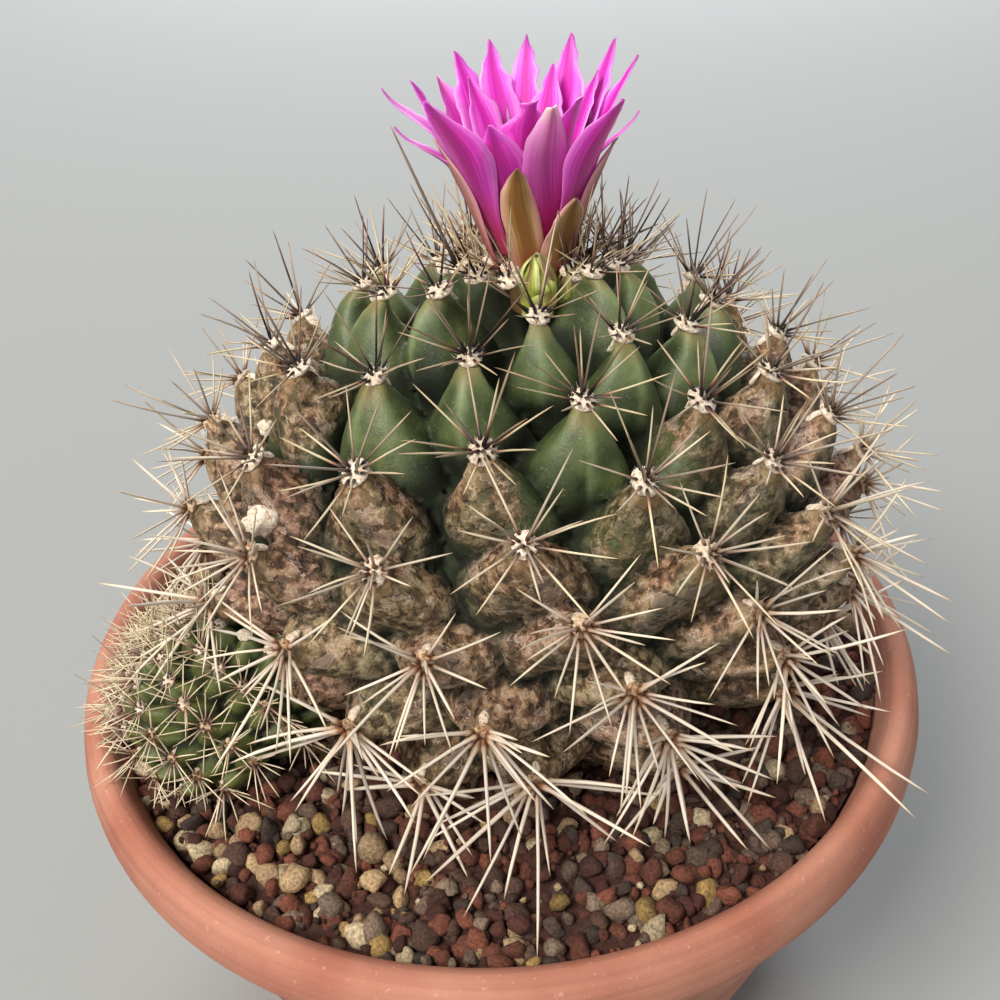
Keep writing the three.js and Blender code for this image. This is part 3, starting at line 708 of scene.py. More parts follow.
@dataclass(frozen=True)
class Grit:
    """The filled bed and the loose grains on top of it."""

    pitch: float = 3.1
    smallest: float = 1.15
    largest: float = 2.35
    variants: int = 12
    crumb_variants: int = 4
    crumb_count: int = 1500
    flats: int = 9
    row: float = 0.9
    scatter: float = 0.45
    upper_share: float = 0.3
    upper_rise: float = 1.5
    upper_growth: float = 1.12
    last_lava: float = 0.83
    first_pumice: float = 0.84
    pumice_growth: float = 1.18
    stem_collar: float = 40.0
    offset_collar: float = 12.0
    seed: int = 4

    def grain(self, rng: Generator, detail: int = 2) -> Shape:
        """One broken grain: a ball with flats knocked off, within a radius of about 1."""
        shape = Shape.taken_from(primitive("ico_sphere", subdivisions=detail, radius=1.0))
        points = shape.points
        for _ in range(self.flats):
            normal = rng.normal(size=3)
            normal /= np.linalg.norm(normal)
            depth = rng.uniform(0.5, 0.8)
            over = np.maximum(points @ normal - depth, 0)
            points = points - over[:, None] * normal
        points = points * (1 + 0.12 * noise_at(points * 2.2, 1.0, rng.uniform(0, 50)))[:, None]
        return shape.moved(points * 1.2)

    def kind_at(self, x: float, y: float, rng: Generator) -> float:
        """Which rock a grain is, as a place on the palette; pumice is commoner at the front left."""
        pumice = 0.09 + 0.2 * float(smoothstep(0, 60, -x)) * float(smoothstep(20, 70, -y))
        if rng.random() < pumice:
            return rng.uniform(self.first_pumice, 1.0)
        return rng.uniform(0.0, self.last_lava)

    def any_turn(self, rng: Generator) -> Array:
        """A turn to any side, as a matrix."""
        return np.array(Quaternion(rng.normal(size=4)).normalized().to_matrix())

    def is_bare(self, x: float, y: float) -> bool:
        """Whether a place is outside the stem's and the offset's collars."""
        collars = ((STEM.centre, self.stem_collar), (OFFSET.centre, self.offset_collar))
        return all(math.hypot(x - centre.x, y - centre.y) > collar for centre, collar in collars)

    def grains(self, pot: Pot) -> list[Shape]:
        """All grains, each with its rock and tone."""
        rng = np.random.default_rng(self.seed)
        kinds = [self.grain(rng) for _ in range(self.variants)]
        wall = pot.wall_radius(GRIT_TOP)
        reach = int(wall / self.pitch / self.row) + 1
        grains = []
        places = range(-reach, reach + 1)
        for i, j, upper in itertools.product(places, places, (False, True)):
            if upper and rng.random() > self.upper_share:
                continue
            x = (i + 0.5 * (j % 2) + rng.uniform(-self.scatter, self.scatter)) * self.pitch
            y = (j * self.row + rng.uniform(-self.scatter, self.scatter)) * self.pitch
            size = rng.uniform(self.smallest, self.largest) * (self.upper_growth if upper else 1.0)
            if math.hypot(x, y) > wall - 0.5 * size or not self.is_bare(x, y):
                continue
            kind = self.kind_at(x, y, rng)
            if kind > self.last_lava:
                size *= self.pumice_growth
            z = GRIT_TOP - 0.6 + (self.upper_rise if upper else 0.0) + rng.uniform(-0.5, 0.5)
            turn = self.any_turn(rng)
            axes = np.diag(size * rng.uniform(0.68, 1.18, 3)) @ turn
            grain = kinds[rng.integers(self.variants)]
            grains.append(grain.placed(Vector((x, y, z)), axes, kind=kind, tone=rng.random()))
        return grains

    def crumbs(self, pot: Pot) -> list[Shape]:
        """Small crumbs that fill the gaps between the grains."""
        rng = np.random.default_rng(self.seed + 1)
        kinds = [self.grain(rng, 1) for _ in range(self.crumb_variants)]
        wall = pot.wall_radius(GRIT_TOP) - 0.6
        crumbs = []
        for _ in range(self.crumb_count):
            angle, radius = rng.uniform(0, math.tau), wall * math.sqrt(rng.random())
            x, y = radius * math.cos(angle), radius * math.sin(angle)
            if self.is_bare(x, y):
                turn = self.any_turn(rng)
                axes = rng.uniform(0.45, 0.95) * turn
                place = Vector((x, y, GRIT_TOP + rng.uniform(-0.4, 0.9)))
                kind = self.kind_at(x, y, rng)
                crumb = kinds[rng.integers(self.crumb_variants)]
                crumbs.append(crumb.placed(place, axes, kind=kind, tone=rng.random()))
        return crumbs

    def bed(self, pot: Pot, material: Material) -> Object:
        """The body of packed grit under the loose grains."""
        bottom = FLOOR_THICKNESS + 0.3
        top = GRIT_TOP - 0.9
        low, high = pot.wall_radius(bottom) - 0.3, pot.wall_radius(top) - 0.3
        bed = primitive(
            "cone", vertices=96, radius1=low * MM, radius2=high * MM, depth=(top - bottom) * MM,
            location=(0, 0, (top + bottom) / 2 * MM),
        )
        bed.name = "packed_grit"
        bpy.ops.object.mode_set(mode="EDIT")
        bpy.ops.mesh.select_all(action="DESELECT")
        bpy.ops.object.mode_set(mode="OBJECT")
        for face in bed.data.polygons:
            face.select = face.normal.z > 0.9
        bpy.ops.object.mode_set(mode="EDIT")
        for _ in range(8):
            bpy.ops.mesh.inset(thickness=self.pitch * 2.4 * MM)
        bpy.ops.object.mode_set(mode="OBJECT")
        for name, value in (("kind", 0.1), ("tone", 0.3)):
            attribute = bed.data.attributes.new(name, "FLOAT", "POINT")
            attribute.data.foreach_set("value", np.full(len(bed.data.vertices), value, np.float32))
        bed.data.materials.append(material)
        return fitted(bed, "grit", "substrate")

    def build(self, pot: Pot) -> None:
        """Makes the bed and its grains."""
        material = GritFinish().build()
        self.bed(pot, material)
        grains = self.grains(pot)
        log.info("%d grains", len(grains))
        loose = made_object("grit_grains", joined([*grains, *self.crumbs(pot)]), material)
        fitted(loose, "grit")


# Skin of the stem and the offset


class SkinKind(Enum):
    """Which body a skin belongs to."""

    STEM = "stem"
    OFFSET = "offset"


# The young skin's greens, from its darkest to its palest patches, and the paler green along a tubercle's
# edges, a painted highlight
GREENS = {
    SkinKind.STEM: ((0.3, "#252E18"), (0.5, "#3E4A28"), (0.7, "#5D673C")),
    SkinKind.OFFSET: ((0.3, "#333B1B"), (0.5, "#4F582B"), (0.7, "#6E743C")),
}
EDGE_HIGHLIGHT_GREENS = {SkinKind.STEM: "#788A5C", SkinKind.OFFSET: "#848A4C"}


@dataclass(frozen=True)
class SkinFinish:
    """Living cactus skin: waxy green that turns to wrinkled brown-purple cork as it ages, with painted
    shade in its grooves and on its undersides, and painted highlights on its ridges and in bright specks.
    """

    kind: SkinKind
    # The broad, middle and fine noise: each one's lump in metres, its detail and its other values
    noises: tuple[tuple[float, int, dict[str, float]], ...] = (
        (0.007, 3, {"Distortion": 0.4}), (0.0022, 4, {"Roughness": 0.6, "Distortion": 0.3}),
        (0.0006, 3, {"Roughness": 0.75}),
    )
    cork_hues: Ramp = (
        (0.05, "#928460"), (0.3, "#A67E5E"), (0.48, "#AA826E"), (0.68, "#BC9A78"), (0.95, "#A69872")
    )
    cork_values: Ramp = ((0.4, "#4A4036"), (0.49, "#A89C8E"), (0.57, "#FFFFFF"))
    cork_grain: Ramp = ((0.36, "#6A6A6A"), (0.56, "#FFFFFF"))
    # Olive greens of the flanks and undersides: their own green, darkened by painted shade
    shaded_flank_hues: Ramp = ((0.36, "#23291B"), (0.5, "#3A4029"), (0.62, "#565A3E"), (0.72, "#6E6A50"))

    def build(self) -> Material:
        """Makes the material, led by the skin's point numbers."""
        material, node = started_material(
            f"cactus skin of the {self.kind.value}", Roughness=0.6, Specular_IOR_Level=0.4
        )
        place = node("TexCoord", output="Object")
        names = ("cork", "hull", "groove", "ridge", "tip", "tone", "keel", "grain_x", "grain_y", "grain_z")
        numbers = {name: node("Attribute", output="Fac", attribute_name=name) for name in names}
        broad, middle, fine = (
            node("TexNoise", {"Vector": place, "Scale": 1 / size, "Detail": detail, **more})
            for size, detail, more in self.noises
        )
        # The grain runs across each tubercle, so along here its patterns are drawn out
        grain = node("CombineXYZ", {axis: numbers[f"grain_{axis.lower()}"] for axis in "XYZ"})
        drawn_out = node("VectorMath", (grain, (0.5, 1.0, 0.7)))
        crack = self.cracks(node, drawn_out, place, middle)
        colour = self.green_skin(node, broad, fine, numbers)
        bark = self.bark(node, drawn_out, (broad, middle, fine), crack, numbers)
        wander = node(
            "MapRange",
            {"Value": middle, "From Min": 0.25, "From Max": 0.75, "To Min": -0.22, "To Max": 0.22},
        )
        cork_sum = node("Math", (numbers["cork"], wander), operation="ADD")
        cork_mask = node(
            "MapRange", {"Value": cork_sum, "From Min": 0.12, "From Max": 0.72},
            interpolation_type="SMOOTHSTEP",
        )
        ochre_share = node(
            "MapRange", {"Value": numbers["tip"], "From Min": 0.24, "From Max": 0.0, "To Max": 0.6}
        )
        # Painted shade: the grooves, creases and deep roots between tubercles are darkened towards near
        # black
        shade = node("Math", (numbers["groove"], 0.92))
        for share, layer in ((cork_mask, bark), (ochre_share, "#8A683C"), (shade, "#10150C")):
            colour = node("Mix", {"Factor": share, "A": colour, "B": layer})
        bare_gloss = node("MapRange", {"Value": cork_mask, "To Min": 0.42, "To Max": 0.62})
        gloss = node("Math", (numbers["groove"], 0.45, bare_gloss), operation="MULTIPLY_ADD")
        crust, dent = (
            node("Math", (pattern, cork_mask)) for pattern in (middle, crack)
        )
        relief = node("Bump", {"Height": crust, "Strength": 0.45, "Distance": 0.001})
        ripple = node("Bump", {"Height": fine, "Strength": 0.35, "Distance": 0.0004, "Normal": relief})
        split = node(
            "Bump", {"Height": dent, "Strength": 0.5, "Distance": 0.0004, "Normal": ripple}, invert=True
        )
        return linked_shader(material, Base_Color=colour, Roughness=gloss, Normal=split)

    def cracks(
        self, node: AddNode, drawn_out: NodeSocket, place: NodeSocket, middle: NodeSocket
    ) -> NodeSocket:
        """Thin broken cracks that run mostly across a tubercle, between plates of about 3 mm.

        Args:
            node: add_node for the material.
            drawn_out: The grain's coordinates, shortened along it.
            place: The object's coordinates.
            middle: The noise of 2 mm that breaks the cracks off.

        Returns:
            A number that is 1 in a crack.
        """
        wave = node("TexNoise", {"Vector": place, "Scale": 1 / 0.0018, "Detail": 2}, output="Color")
        shift = node("VectorMath", (wave, (0.0022, 0.0022, 0.0022)))
        bent = node("VectorMath", (drawn_out, shift), operation="ADD")
        plates = node("TexVoronoi", {"Vector": bent, "Scale": 1 / 0.003}, feature="DISTANCE_TO_EDGE")
        line = node(
            "MapRange", {"Value": plates, "From Min": 0.02, "From Max": 0.08, "To Min": 1.0, "To Max": 0.0}
        )
        broken = node("MapRange", {"Value": middle, "From Min": 0.53, "From Max": 0.4})
        return node("Math", (line, broken))

    def green_skin(
        self, node: AddNode, broad: NodeSocket, fine: NodeSocket, numbers: dict[str, NodeSocket]
    ) -> NodeSocket:
        """The young skin's colour: mottled green with waxy specks, and paler edges and the palest keel as
        painted highlights.

        Args:
            node: add_node for the material.
            broad: The noise of 7 mm.
            fine: The noise of half a millimetre.
            numbers: The skin's point numbers.

        Returns:
            The colour.
        """
        colour = node("ValToRGB", {"Fac": broad}, stops=GREENS[self.kind])
        specks = node("MapRange", {"Value": fine, "From Min": 0.6, "From Max": 0.72, "To Max": 0.4})
        keel = node("Math", (numbers["keel"], 0.5))
        edge = EDGE_HIGHLIGHT_GREENS[self.kind]
        # Waxy specks, then the paler edges and keel, which are painted highlights
        for share, layer in ((specks, "#A3AE88"), (numbers["ridge"], edge), (keel, "#86966A")):
            colour = node("Mix", {"Factor": share, "A": colour, "B": layer})
        return colour

    def bark(
        self, node: AddNode, drawn_out: NodeSocket, noises: tuple[NodeSocket, ...], crack: NodeSocket,
        numbers: dict[str, NodeSocket],
    ) -> NodeSocket:
        """The old skin's colour: brown cork with flaked patches, cracks and greener flanks, with painted
        highlights in bright specks and on its ridges, and painted shade on its deep flanks and hull.

        Args:
            node: add_node for the material.
            drawn_out: The grain's coordinates, shortened along it.
            noises: The broad, middle and fine noise.
            crack: A number that is 1 in a crack.
            numbers: The skin's point numbers.

        Returns:
            The colour.
        """
        broad, middle, fine = noises
        hue = node("Math", (broad, numbers["tone"]), operation="ADD")
        hue_place = node("MapRange", {"Value": hue, "From Min": 0.4, "From Max": 1.6})
        colour = node("ValToRGB", {"Fac": hue_place}, stops=self.cork_hues)
        for share, pattern, stops in ((0.85, middle, self.cork_values), (0.45, fine, self.cork_grain)):
            tint = node("ValToRGB", {"Fac": pattern}, stops=stops)
            colour = node("Mix", {"Factor": share, "A": colour, "B": tint}, blend_type="MULTIPLY")
        # Smooth pinkish patches where the cork has flaked off, with a pale crisp edge
        flake = node(
            "TexNoise",
            {"Vector": drawn_out, "Scale": 1 / 0.0042, "Detail": 5, "Roughness": 0.55, "Distortion": 0.3},
        )
        inside = node("MapRange", {"Value": flake, "From Min": 0.57, "From Max": 0.59, "To Max": 0.5})
        rim = node("Math", (flake, 0.577, 0.009), operation="COMPARE")
        # Sparse pale specks: painted highlights of glints on the cork
        speck_noise = node("Math", (fine, middle))
        glint_specks = node("MapRange", {"Value": speck_noise, "From Min": 0.315, "From Max": 0.345, "To Max": 0.8})
        deep = node(
            "MapRange", {"Value": numbers["tip"], "From Min": 0.65, "From Max": 1.15, "To Max": 0.8}
        )
        # The ridges are paler as a painted highlight
        rim_share, ridge_highlight, crack_share, hull = (
            node("Math", (number, share))
            for number, share in (
                (rim, fine), (numbers["ridge"], 0.45), (crack, 0.66), (numbers["hull"], 0.65)
            )
        )
        # The deep flanks and the hull under the ridge take the darker olive greens, their own green with
        # painted shade
        flank = node("Math", (deep, hull), operation="MAXIMUM")
        flank_hue = node("ValToRGB", {"Fac": middle}, stops=self.shaded_flank_hues)
        for share, layer in (
            (inside, "#A38A7C"), (rim_share, "#DCCAB4"), (glint_specks, "#B9A590"), (ridge_highlight, "#8C8166"),
            (crack_share, "#20170F"), (flank, flank_hue),
        ):
            colour = node("Mix", {"Factor": share, "A": colour, "B": layer})
        return colour


@dataclass(frozen=True)
class Finger:
    """A tubercle's rings from its root to its tip: depth in tubercle heights, width and height as shares
    of its cell, and how far its middle lies over the areole in level spacings."""

    rings: tuple[tuple[float, float, float, float], ...] = (
        (2.0, 1.03, 1.05, 0.0), (1.4, 0.98, 1.02, -0.05), (1.05, 0.93, 0.99, -0.08),
        (0.88, 0.89, 0.96, -0.11), (0.76, 0.84, 0.92, -0.13), (0.58, 0.7, 0.83, -0.14),
        (0.38, 0.53, 0.69, -0.15), (0.22, 0.38, 0.53, -0.14), (0.1, 0.27, 0.4, -0.1),
        (0.03, 0.19, 0.28, -0.05), (0.0, 0.1, 0.16, -0.02),
    )
    sides: int = 32

    def build(self) -> Shape:
        """Models the finger as a straight rod of unit radius, with a loop at each ring."""
        finger = drawn_rod(self.sides, [(-ring[0], 1.0) for ring in self.rings])
        apply_modifier(finger, "SUBSURF", levels=1, render_levels=1)
        return Shape.taken_from(finger)

    def column(self, place: int, depth: Array) -> Array:
        """One column of the rings, read at each depth."""
        rings = self.rings[::-1]
        return np.interp(depth, [ring[0] for ring in rings], [ring[place] for ring in rings])


@dataclass(frozen=True)
class Skin:
    """The skin of a ribbed body: all its tubercles and its core, grown together."""

    name: str
    lattice: Lattice
    kind: SkinKind
    voxel: float
    finger: Finger = Finger()
    stretch: float = 1.6
    deepening: float = 1.42
    least_fold: float = 0.05
    most_fold: float = 0.4
    sag: float = 0.1
    crease: float = 1.7
    carving: float = 1.25
    core_depth: float = 1.45
    lump: float = 0.75
    wrinkle: float = 0.42
    side_room: float = 0.85
    level_room: float = 0.8
    corner_power: int = 12
    young_ages: tuple[float, float] = (0.16, 0.34)
    cork_ages: tuple[float, float] = (0.24, 0.42)
    flank_lead: float = 0.4
    most_triangles: int = 190_000
    seed: int = 3

    def core(self) -> Shape:
        """The rounded core that the tubercles stand on."""
        steps = 14
        low, high = self.lattice.top_level, self.lattice.bottom_level + 0.8
        section = []
        for k in range(steps + 1):
            share = k / steps
            level = low + share * (high - low)
            radius, height = self.lattice.outline(level)
            normal = self.lattice.normal(level)
            inset = self.core_depth * self.deepening * self.lattice.height(share)
            section.append(Vector((max(radius - inset * normal.x, 0.5), 0, height - inset * normal.y)))
        section = [Vector((0, 0, section[0].z)), *section, Vector((0, 0, section[-1].z))]
        core = turned("core", section, 64, merge=1e-3)
        shape = Shape.taken_from(core)
        turn = np.array(self.lattice.turn().to_matrix())
        return shape.moved(shape.points @ turn.T + np.array(self.lattice.centre))

    def cell(self, areole: Areole, places: Array, angles: Array) -> Array:
        """How far a tubercle's room reaches, half way to each of its neighbours.

        Args:
            areole: The tubercle's own areole.
            places: The places of all areoles.
            angles: Directions round the areole, from its side towards its up.

        Returns:
            A reach in millimetres for each direction, with its corners a little rounded.
        """
        metric = np.array([1.0, self.stretch])
        rays = np.stack([np.cos(angles), np.sin(angles)], axis=1)
        most = np.array([self.side_room * areole.rib_spacing, self.level_room * areole.level_spacing])
        total = np.linalg.norm(rays / most, axis=1) ** self.corner_power
        steps = places - np.array(areole.point)
        flat = steps @ areole.axes()[:2].T
        depth = np.abs(steps @ np.array(areole.out))
        near = (np.linalg.norm(steps, axis=1) > 1e-6) & (depth < 1.4 * areole.rib_spacing)
        for step in flat[near]:
            target = step * metric
            facing = (rays * metric) @ target / (0.5 * target @ target)
            total += np.maximum(facing, 0) ** self.corner_power
        return total ** (-1 / self.corner_power)

    def tubercle(self, rod: Shape, areole: Areole, places: Array, rng: Generator) -> Shape:
        """One tubercle: the rod drawn out to its cell at its areole, a little unlike its neighbours."""
        depth = -rod.points[:, 2]
        angles = np.arctan2(rod.points[:, 1], rod.points[:, 0])
        ring = np.hypot(rod.points[:, 0], rod.points[:, 1]) * rng.uniform(0.95, 1.02)
        wide, high = self.finger.column(1, depth), self.finger.column(2, depth)
        corners = self.cell(areole, places, np.radians([0, 90, 180, 270]))
        rightward, topward = np.cos(angles), np.sin(angles)
        half_width = np.where(rightward > 0, corners[0], corners[2]) * wide
        half_height = np.where(topward > 0, corners[1], corners[3]) * high
        # Near the tip a section is a kite with four keels, and near the root it fills its cell
        power = np.interp(depth, (0.15, 0.9), (1.3, 2.2))
        kite = (
            np.abs(rightward / half_width) ** power + np.abs(topward / half_height) ** power
        ) ** (-1 / power)
        cell = self.cell(areole, places, angles)
        filled = smoothstep(0.55, 1.1, depth)
        across = ring * rightward * (kite + (cell * wide - kite) * filled)
        upward = ring * topward * (kite + (cell * high - kite) * filled)
        upward += self.finger.column(3, depth) * areole.level_spacing
        upward -= rng.uniform(self.least_fold, self.most_fold) * np.abs(across)
        inward = -depth * self.lattice.height(areole.age) * self.deepening * rng.uniform(0.92, 1.08)
        across += rng.uniform(-0.16, 0.16) * inward
        upward += self.sag * inward
        local = np.stack([across, upward, inward], axis=1)
        return rod.moved(local @ areole.axes() + np.array(areole.point))

    def grown(self, shapes: list[Shape]) -> Object:
        """Grows separate shapes together into one skin."""
        whole = made_object(self.name, joined(shapes))
        apply_modifier(whole, "REMESH", mode="VOXEL", voxel_size=self.voxel * MM, adaptivity=0.0)
        apply_modifier(whole, "SMOOTH", factor=0.5, iterations=1)
        return whole

    def owners(self, points: Array, fingers: list[Shape]) -> tuple[Array, Array]:
        """Which finger each point lies on, and how far it is from the next finger.

        Args:
            points: The skin's points.
            fingers: The separate tubercles, all with equally many points.

        Returns:
            The number of each point's finger, and a distance that ends at the crease's width.
        """
        tree = KDTree(sum(len(f.points) for f in fingers))
        for k, point in enumerate(p for finger in fingers for p in finger.points):
            tree.insert(point, k)
        tree.balance()
        each = len(fingers[0].points)
        owners = np.array([tree.find(p)[1] // each for p in points])
        gap = np.full(len(points), self.crease)
        for k, (point, owner) in enumerate(zip(points, owners)):
            others = (d for _, i, d in tree.find_range(point, self.crease) if i // each != owner)
            gap[k] = min(others, default=self.crease)
        return owners, gap

    def grooves(self, shape: Shape, rounds: int = 5) -> Array:
        """How deep in a valley each point lies, from how its neighbours stand around it."""
        starts = np.concatenate([[0], np.cumsum(shape.sizes)[:-1]])
        nexts = np.arange(len(shape.corners)) + 1
        nexts[starts + shape.sizes - 1] = starts
        a, b = shape.corners, shape.corners[nexts]
        count = np.bincount(a, minlength=len(shape.points)) + np.bincount(b, minlength=len(shape.points))

        def spread(values: Array) -> Array:
            """The mean of each point's neighbours."""
            total = np.zeros_like(values)
            np.add.at(total, a, values[b])
            np.add.at(total, b, values[a])
            return total / (count[:, None] if values.ndim > 1 else count)

        soft = shape.points
        for _ in range(rounds):
            soft = spread(soft)
        rise = np.einsum("ij,ij->i", soft - shape.points, self.normals(shape))
        for _ in range(2):
            rise = spread(rise)
        return rise

    def normals(self, shape: Shape) -> Array:
        """A unit normal for each point of a shape made of quads."""
        corners = shape.corners.reshape(-1, 4)
        p = shape.points[corners]
        face = np.cross(p[:, 2] - p[:, 0], p[:, 3] - p[:, 1])
        normals = np.zeros_like(shape.points)
        for k in range(4):
            np.add.at(normals, corners[:, k], face)
        return normals / np.maximum(np.linalg.norm(normals, axis=1, keepdims=True), 1e-9)

    def build(self, cutters: list[PointMover]) -> BVHTree:
        """Grows the skin, roughens it and stores what leads its finish.

        Args:
            cutters: Functions that push points out of a neighbour.

        Returns:
            A search tree of the skin's faces, in millimetres.
        """
        rng = np.random.default_rng(self.seed)
        areoles = self.lattice.areoles()
        rod = self.finger.build()
        places, sides, ups, outs = (
            np.array([getattr(a, name) for a in areoles]) for name in ("point", "side", "up", "out")
        )
        fingers = [self.tubercle(rod, areole, places, rng) for areole in areoles]
        whole = self.grown([self.core(), *fingers])
        shape = Shape.taken_from(whole)
        shape = shape.moved(shape.points / MM)
        owners, gap = self.owners(shape.points, fingers)
        tones = rng.random(len(areoles))
        ages = np.array([a.age for a in areoles])[owners]
        heights = np.array([self.lattice.height(a.age) for a in areoles])[owners]
        steps = shape.points - places[owners]
        normals = self.normals(shape)
        across, upward, outward, facing = (
            np.einsum("ij,ij->i", vectors, axes[owners])
            for vectors, axes in ((steps, sides), (steps, ups), (steps, outs), (normals, ups))
        )
        depth = -outward / heights
        groove = self.grooves(shape)
        cork, hull = self.cork(ages, depth, facing, tones[owners], shape.points)
        lumps = noise_at(shape.points, 8.5, 1) * self.lump * (0.35 + 0.65 * cork)
        ridged = np.abs(noise_at(shape.points, 4.2, 2) + 0.4 * noise_at(shape.points, 1.9, 4))
        lumps += (smoothstep(0.0, 0.3, ridged) - 0.6) * self.wrinkle * (0.15 + 0.85 * cork)
        fade = smoothstep(0.02, 0.3, depth)
        crease = 1 - smoothstep(0.25, 1.0, gap / self.crease)
        moved = shape.points + normals * (lumps * fade - self.carving * crease**2)[:, None]
        # groove leads painted shade into the valleys, creases and deep roots; ridge and keel lead painted
        # highlights along the ridges and the young tubercles' keels
        shape = shape.moved(
            moved, cork=cork, hull=hull,
            groove=np.maximum.reduce(
                [smoothstep(0.06, 0.5, groove), crease, 0.9 * smoothstep(0.8, 1.25, depth)]
            ),
            ridge=smoothstep(0.04, 0.42, -groove) * (1 - crease) * (1 - smoothstep(0.7, 1.0, depth)),
            tip=np.clip(depth, 0, 2), tone=tones[owners] * (0.25 + 0.75 * smoothstep(0.25, 0.5, ages)),
            keel=(1 - smoothstep(0.3, 1.1, np.abs(across))) * (1 - smoothstep(0.3, 0.5, ages)),
            grain_x=across * MM + tones[owners], grain_y=upward * MM, grain_z=depth * heights * MM,
        )
        for cutter in cutters:
            shape.points = cutter(shape.points)
        skin = made_object(self.name, shape, SkinFinish(self.kind).build())
        triangles = 2 * len(shape.sizes)
        if triangles > self.most_triangles:
            apply_modifier(skin, "DECIMATE", ratio=self.most_triangles / triangles)
            skin.data.shade_smooth()
        fitted(skin, f"{self.kind.value}_skin", self.kind.value)
        return BVHTree.FromPolygons(shape.points.tolist(), shape.corners.reshape(-1, 4).tolist())

    def cork(
        self, ages: Array, depth: Array, facing: Array, tones: Array, points: Array
    ) -> tuple[Array, Array]:
        """How corky each point is, old tubercles first, and how far it is a shaded hull under its ridge.

        Args:
            ages: The age of each point's areole.
            depth: How far each point lies under its areole, in tubercle heights.
            facing: How much each point looks up along its tubercle.
            tones: A random number of each point's tubercle.
            points: The points themselves.

        Returns:
            Two numbers from 0 to 1 for each point.
        """
        if self.kind is SkinKind.OFFSET:
            return np.zeros(len(points)), np.zeros(len(points))
        centre = self.lattice.centre
        sideways = np.sin(np.arctan2(points[:, 0] - centre.x, centre.y - points[:, 1]))
        beside = self.flank_lead * np.abs(sideways) * smoothstep(0.1, 0.4, ages)
        aged = ages + 0.16 * (tones - 0.5) + 0.12 * noise_at(points, 34, 9) + beside - 0.03
        young = 1 - smoothstep(*self.young_ages, ages + 0.1 * (tones - 0.5))
        ends = 1.5 - 0.75 * young
        face = smoothstep(*self.cork_ages, aged) * (1 - smoothstep(ends - 0.5, ends, depth))
        patches = 0.5 * noise_at(points, 9, 6)
        least = -0.95 + 0.65 * smoothstep(-0.1, 0.6, sideways)
        exposed = smoothstep(least, least + 0.4, facing + 0.25 * noise_at(points, 6, 5))
        corky = np.clip(face * (0.8 + patches + 0.2 * exposed), 0, 1)
        return corky, np.clip((1 - exposed) * (0.85 + 0.5 * noise_at(points, 4, 7)), 0, 1)


def kept_out_of_ball(points: Array, centre: Vector, radius: float) -> Array:
    """Pushes points out of a ball."""
    reach = points - np.array(centre)
    distance = np.linalg.norm(reach, axis=1, keepdims=True)
    return np.where(distance < radius, np.array(centre) + reach * radius / distance, points)


def kept_above(points: Array, height: float) -> Array:
    """Lifts points to a height at least."""
    return np.column_stack([points[:, :2], np.maximum(points[:, 2], height)])


# Room for the spines


FLOWER_GAP, FLOWER_FLARE = 1.4, 0.68
SKIN_GAP, OFFSET_GAP, GRIT_GAP = 0.6, 1.0, 0.9
RIM_INNER_GAP, RIM_GAP, RIM_OVERHANG = 1.5, 0.6, 3.5
UNDER_FOOT = -2


def inside_flower(point: Vector) -> bool:
    """Whether a point is in the room of the flower."""
    reach = point - FLOWER_BASE
    along = reach.dot(FLOWER_AXIS)
    across = (reach - FLOWER_AXIS * along).length
    flare = FLOWER_FLARE * max(0.0, along - TUBE_HEIGHT)
    return UNDER_FOOT < along < FLOWER_HEIGHT and across < TUBE_RADIUS + FLOWER_GAP + flare


def inside_bud(point: Vector) -> bool:
    """Whether a point is in the room of the bud."""
    reach = point - BUD_BASE
    radius = math.hypot(reach.x, reach.y)
    return UNDER_FOOT < reach.z < BUD_HEIGHT + 1 and radius < BUD_RADIUS + SKIN_GAP


def inside_rim(point: Vector) -> bool:
    """Whether a point is in the pot's wall."""
    radius = math.hypot(point.x, point.y)
    in_wall = RIM_INNER_RADIUS - RIM_INNER_GAP < radius < RIM_RADIUS + RIM_GAP
    return in_wall and point.z < POT_HEIGHT + RIM_GAP


def outside_room(point: Vector) -> bool:
    """Whether a point lies further out than spines reach past the pot."""
    return max(abs(point.x), abs(point.y)) > RIM_RADIUS + RIM_OVERHANG


def inside_grit(point: Vector) -> bool:
    """Whether a point is in the grit."""
    return math.hypot(point.x, point.y) < RIM_INNER_RADIUS and point.z < PLANT_FLOOR + GRIT_GAP


def inside_offset(point: Vector) -> bool:
    """Whether a point is in the offset."""
    return (point - OFFSET.centre).length < OFFSET_RADIUS + OFFSET_GAP


def inside_stem(point: Vector) -> bool:
    """Whether a point is near the old stem's skin."""
    local = STEM.turn().inverted() @ (point - STEM.centre)
    level = STEM_TOP_LEVEL + math.sqrt(max(0.0, STEM_TOP - local.z) / STEM_FALL)
    return math.hypot(local.x, local.y) < stem_outline(level)[0] + SKIN_GAP


# Spines and wool


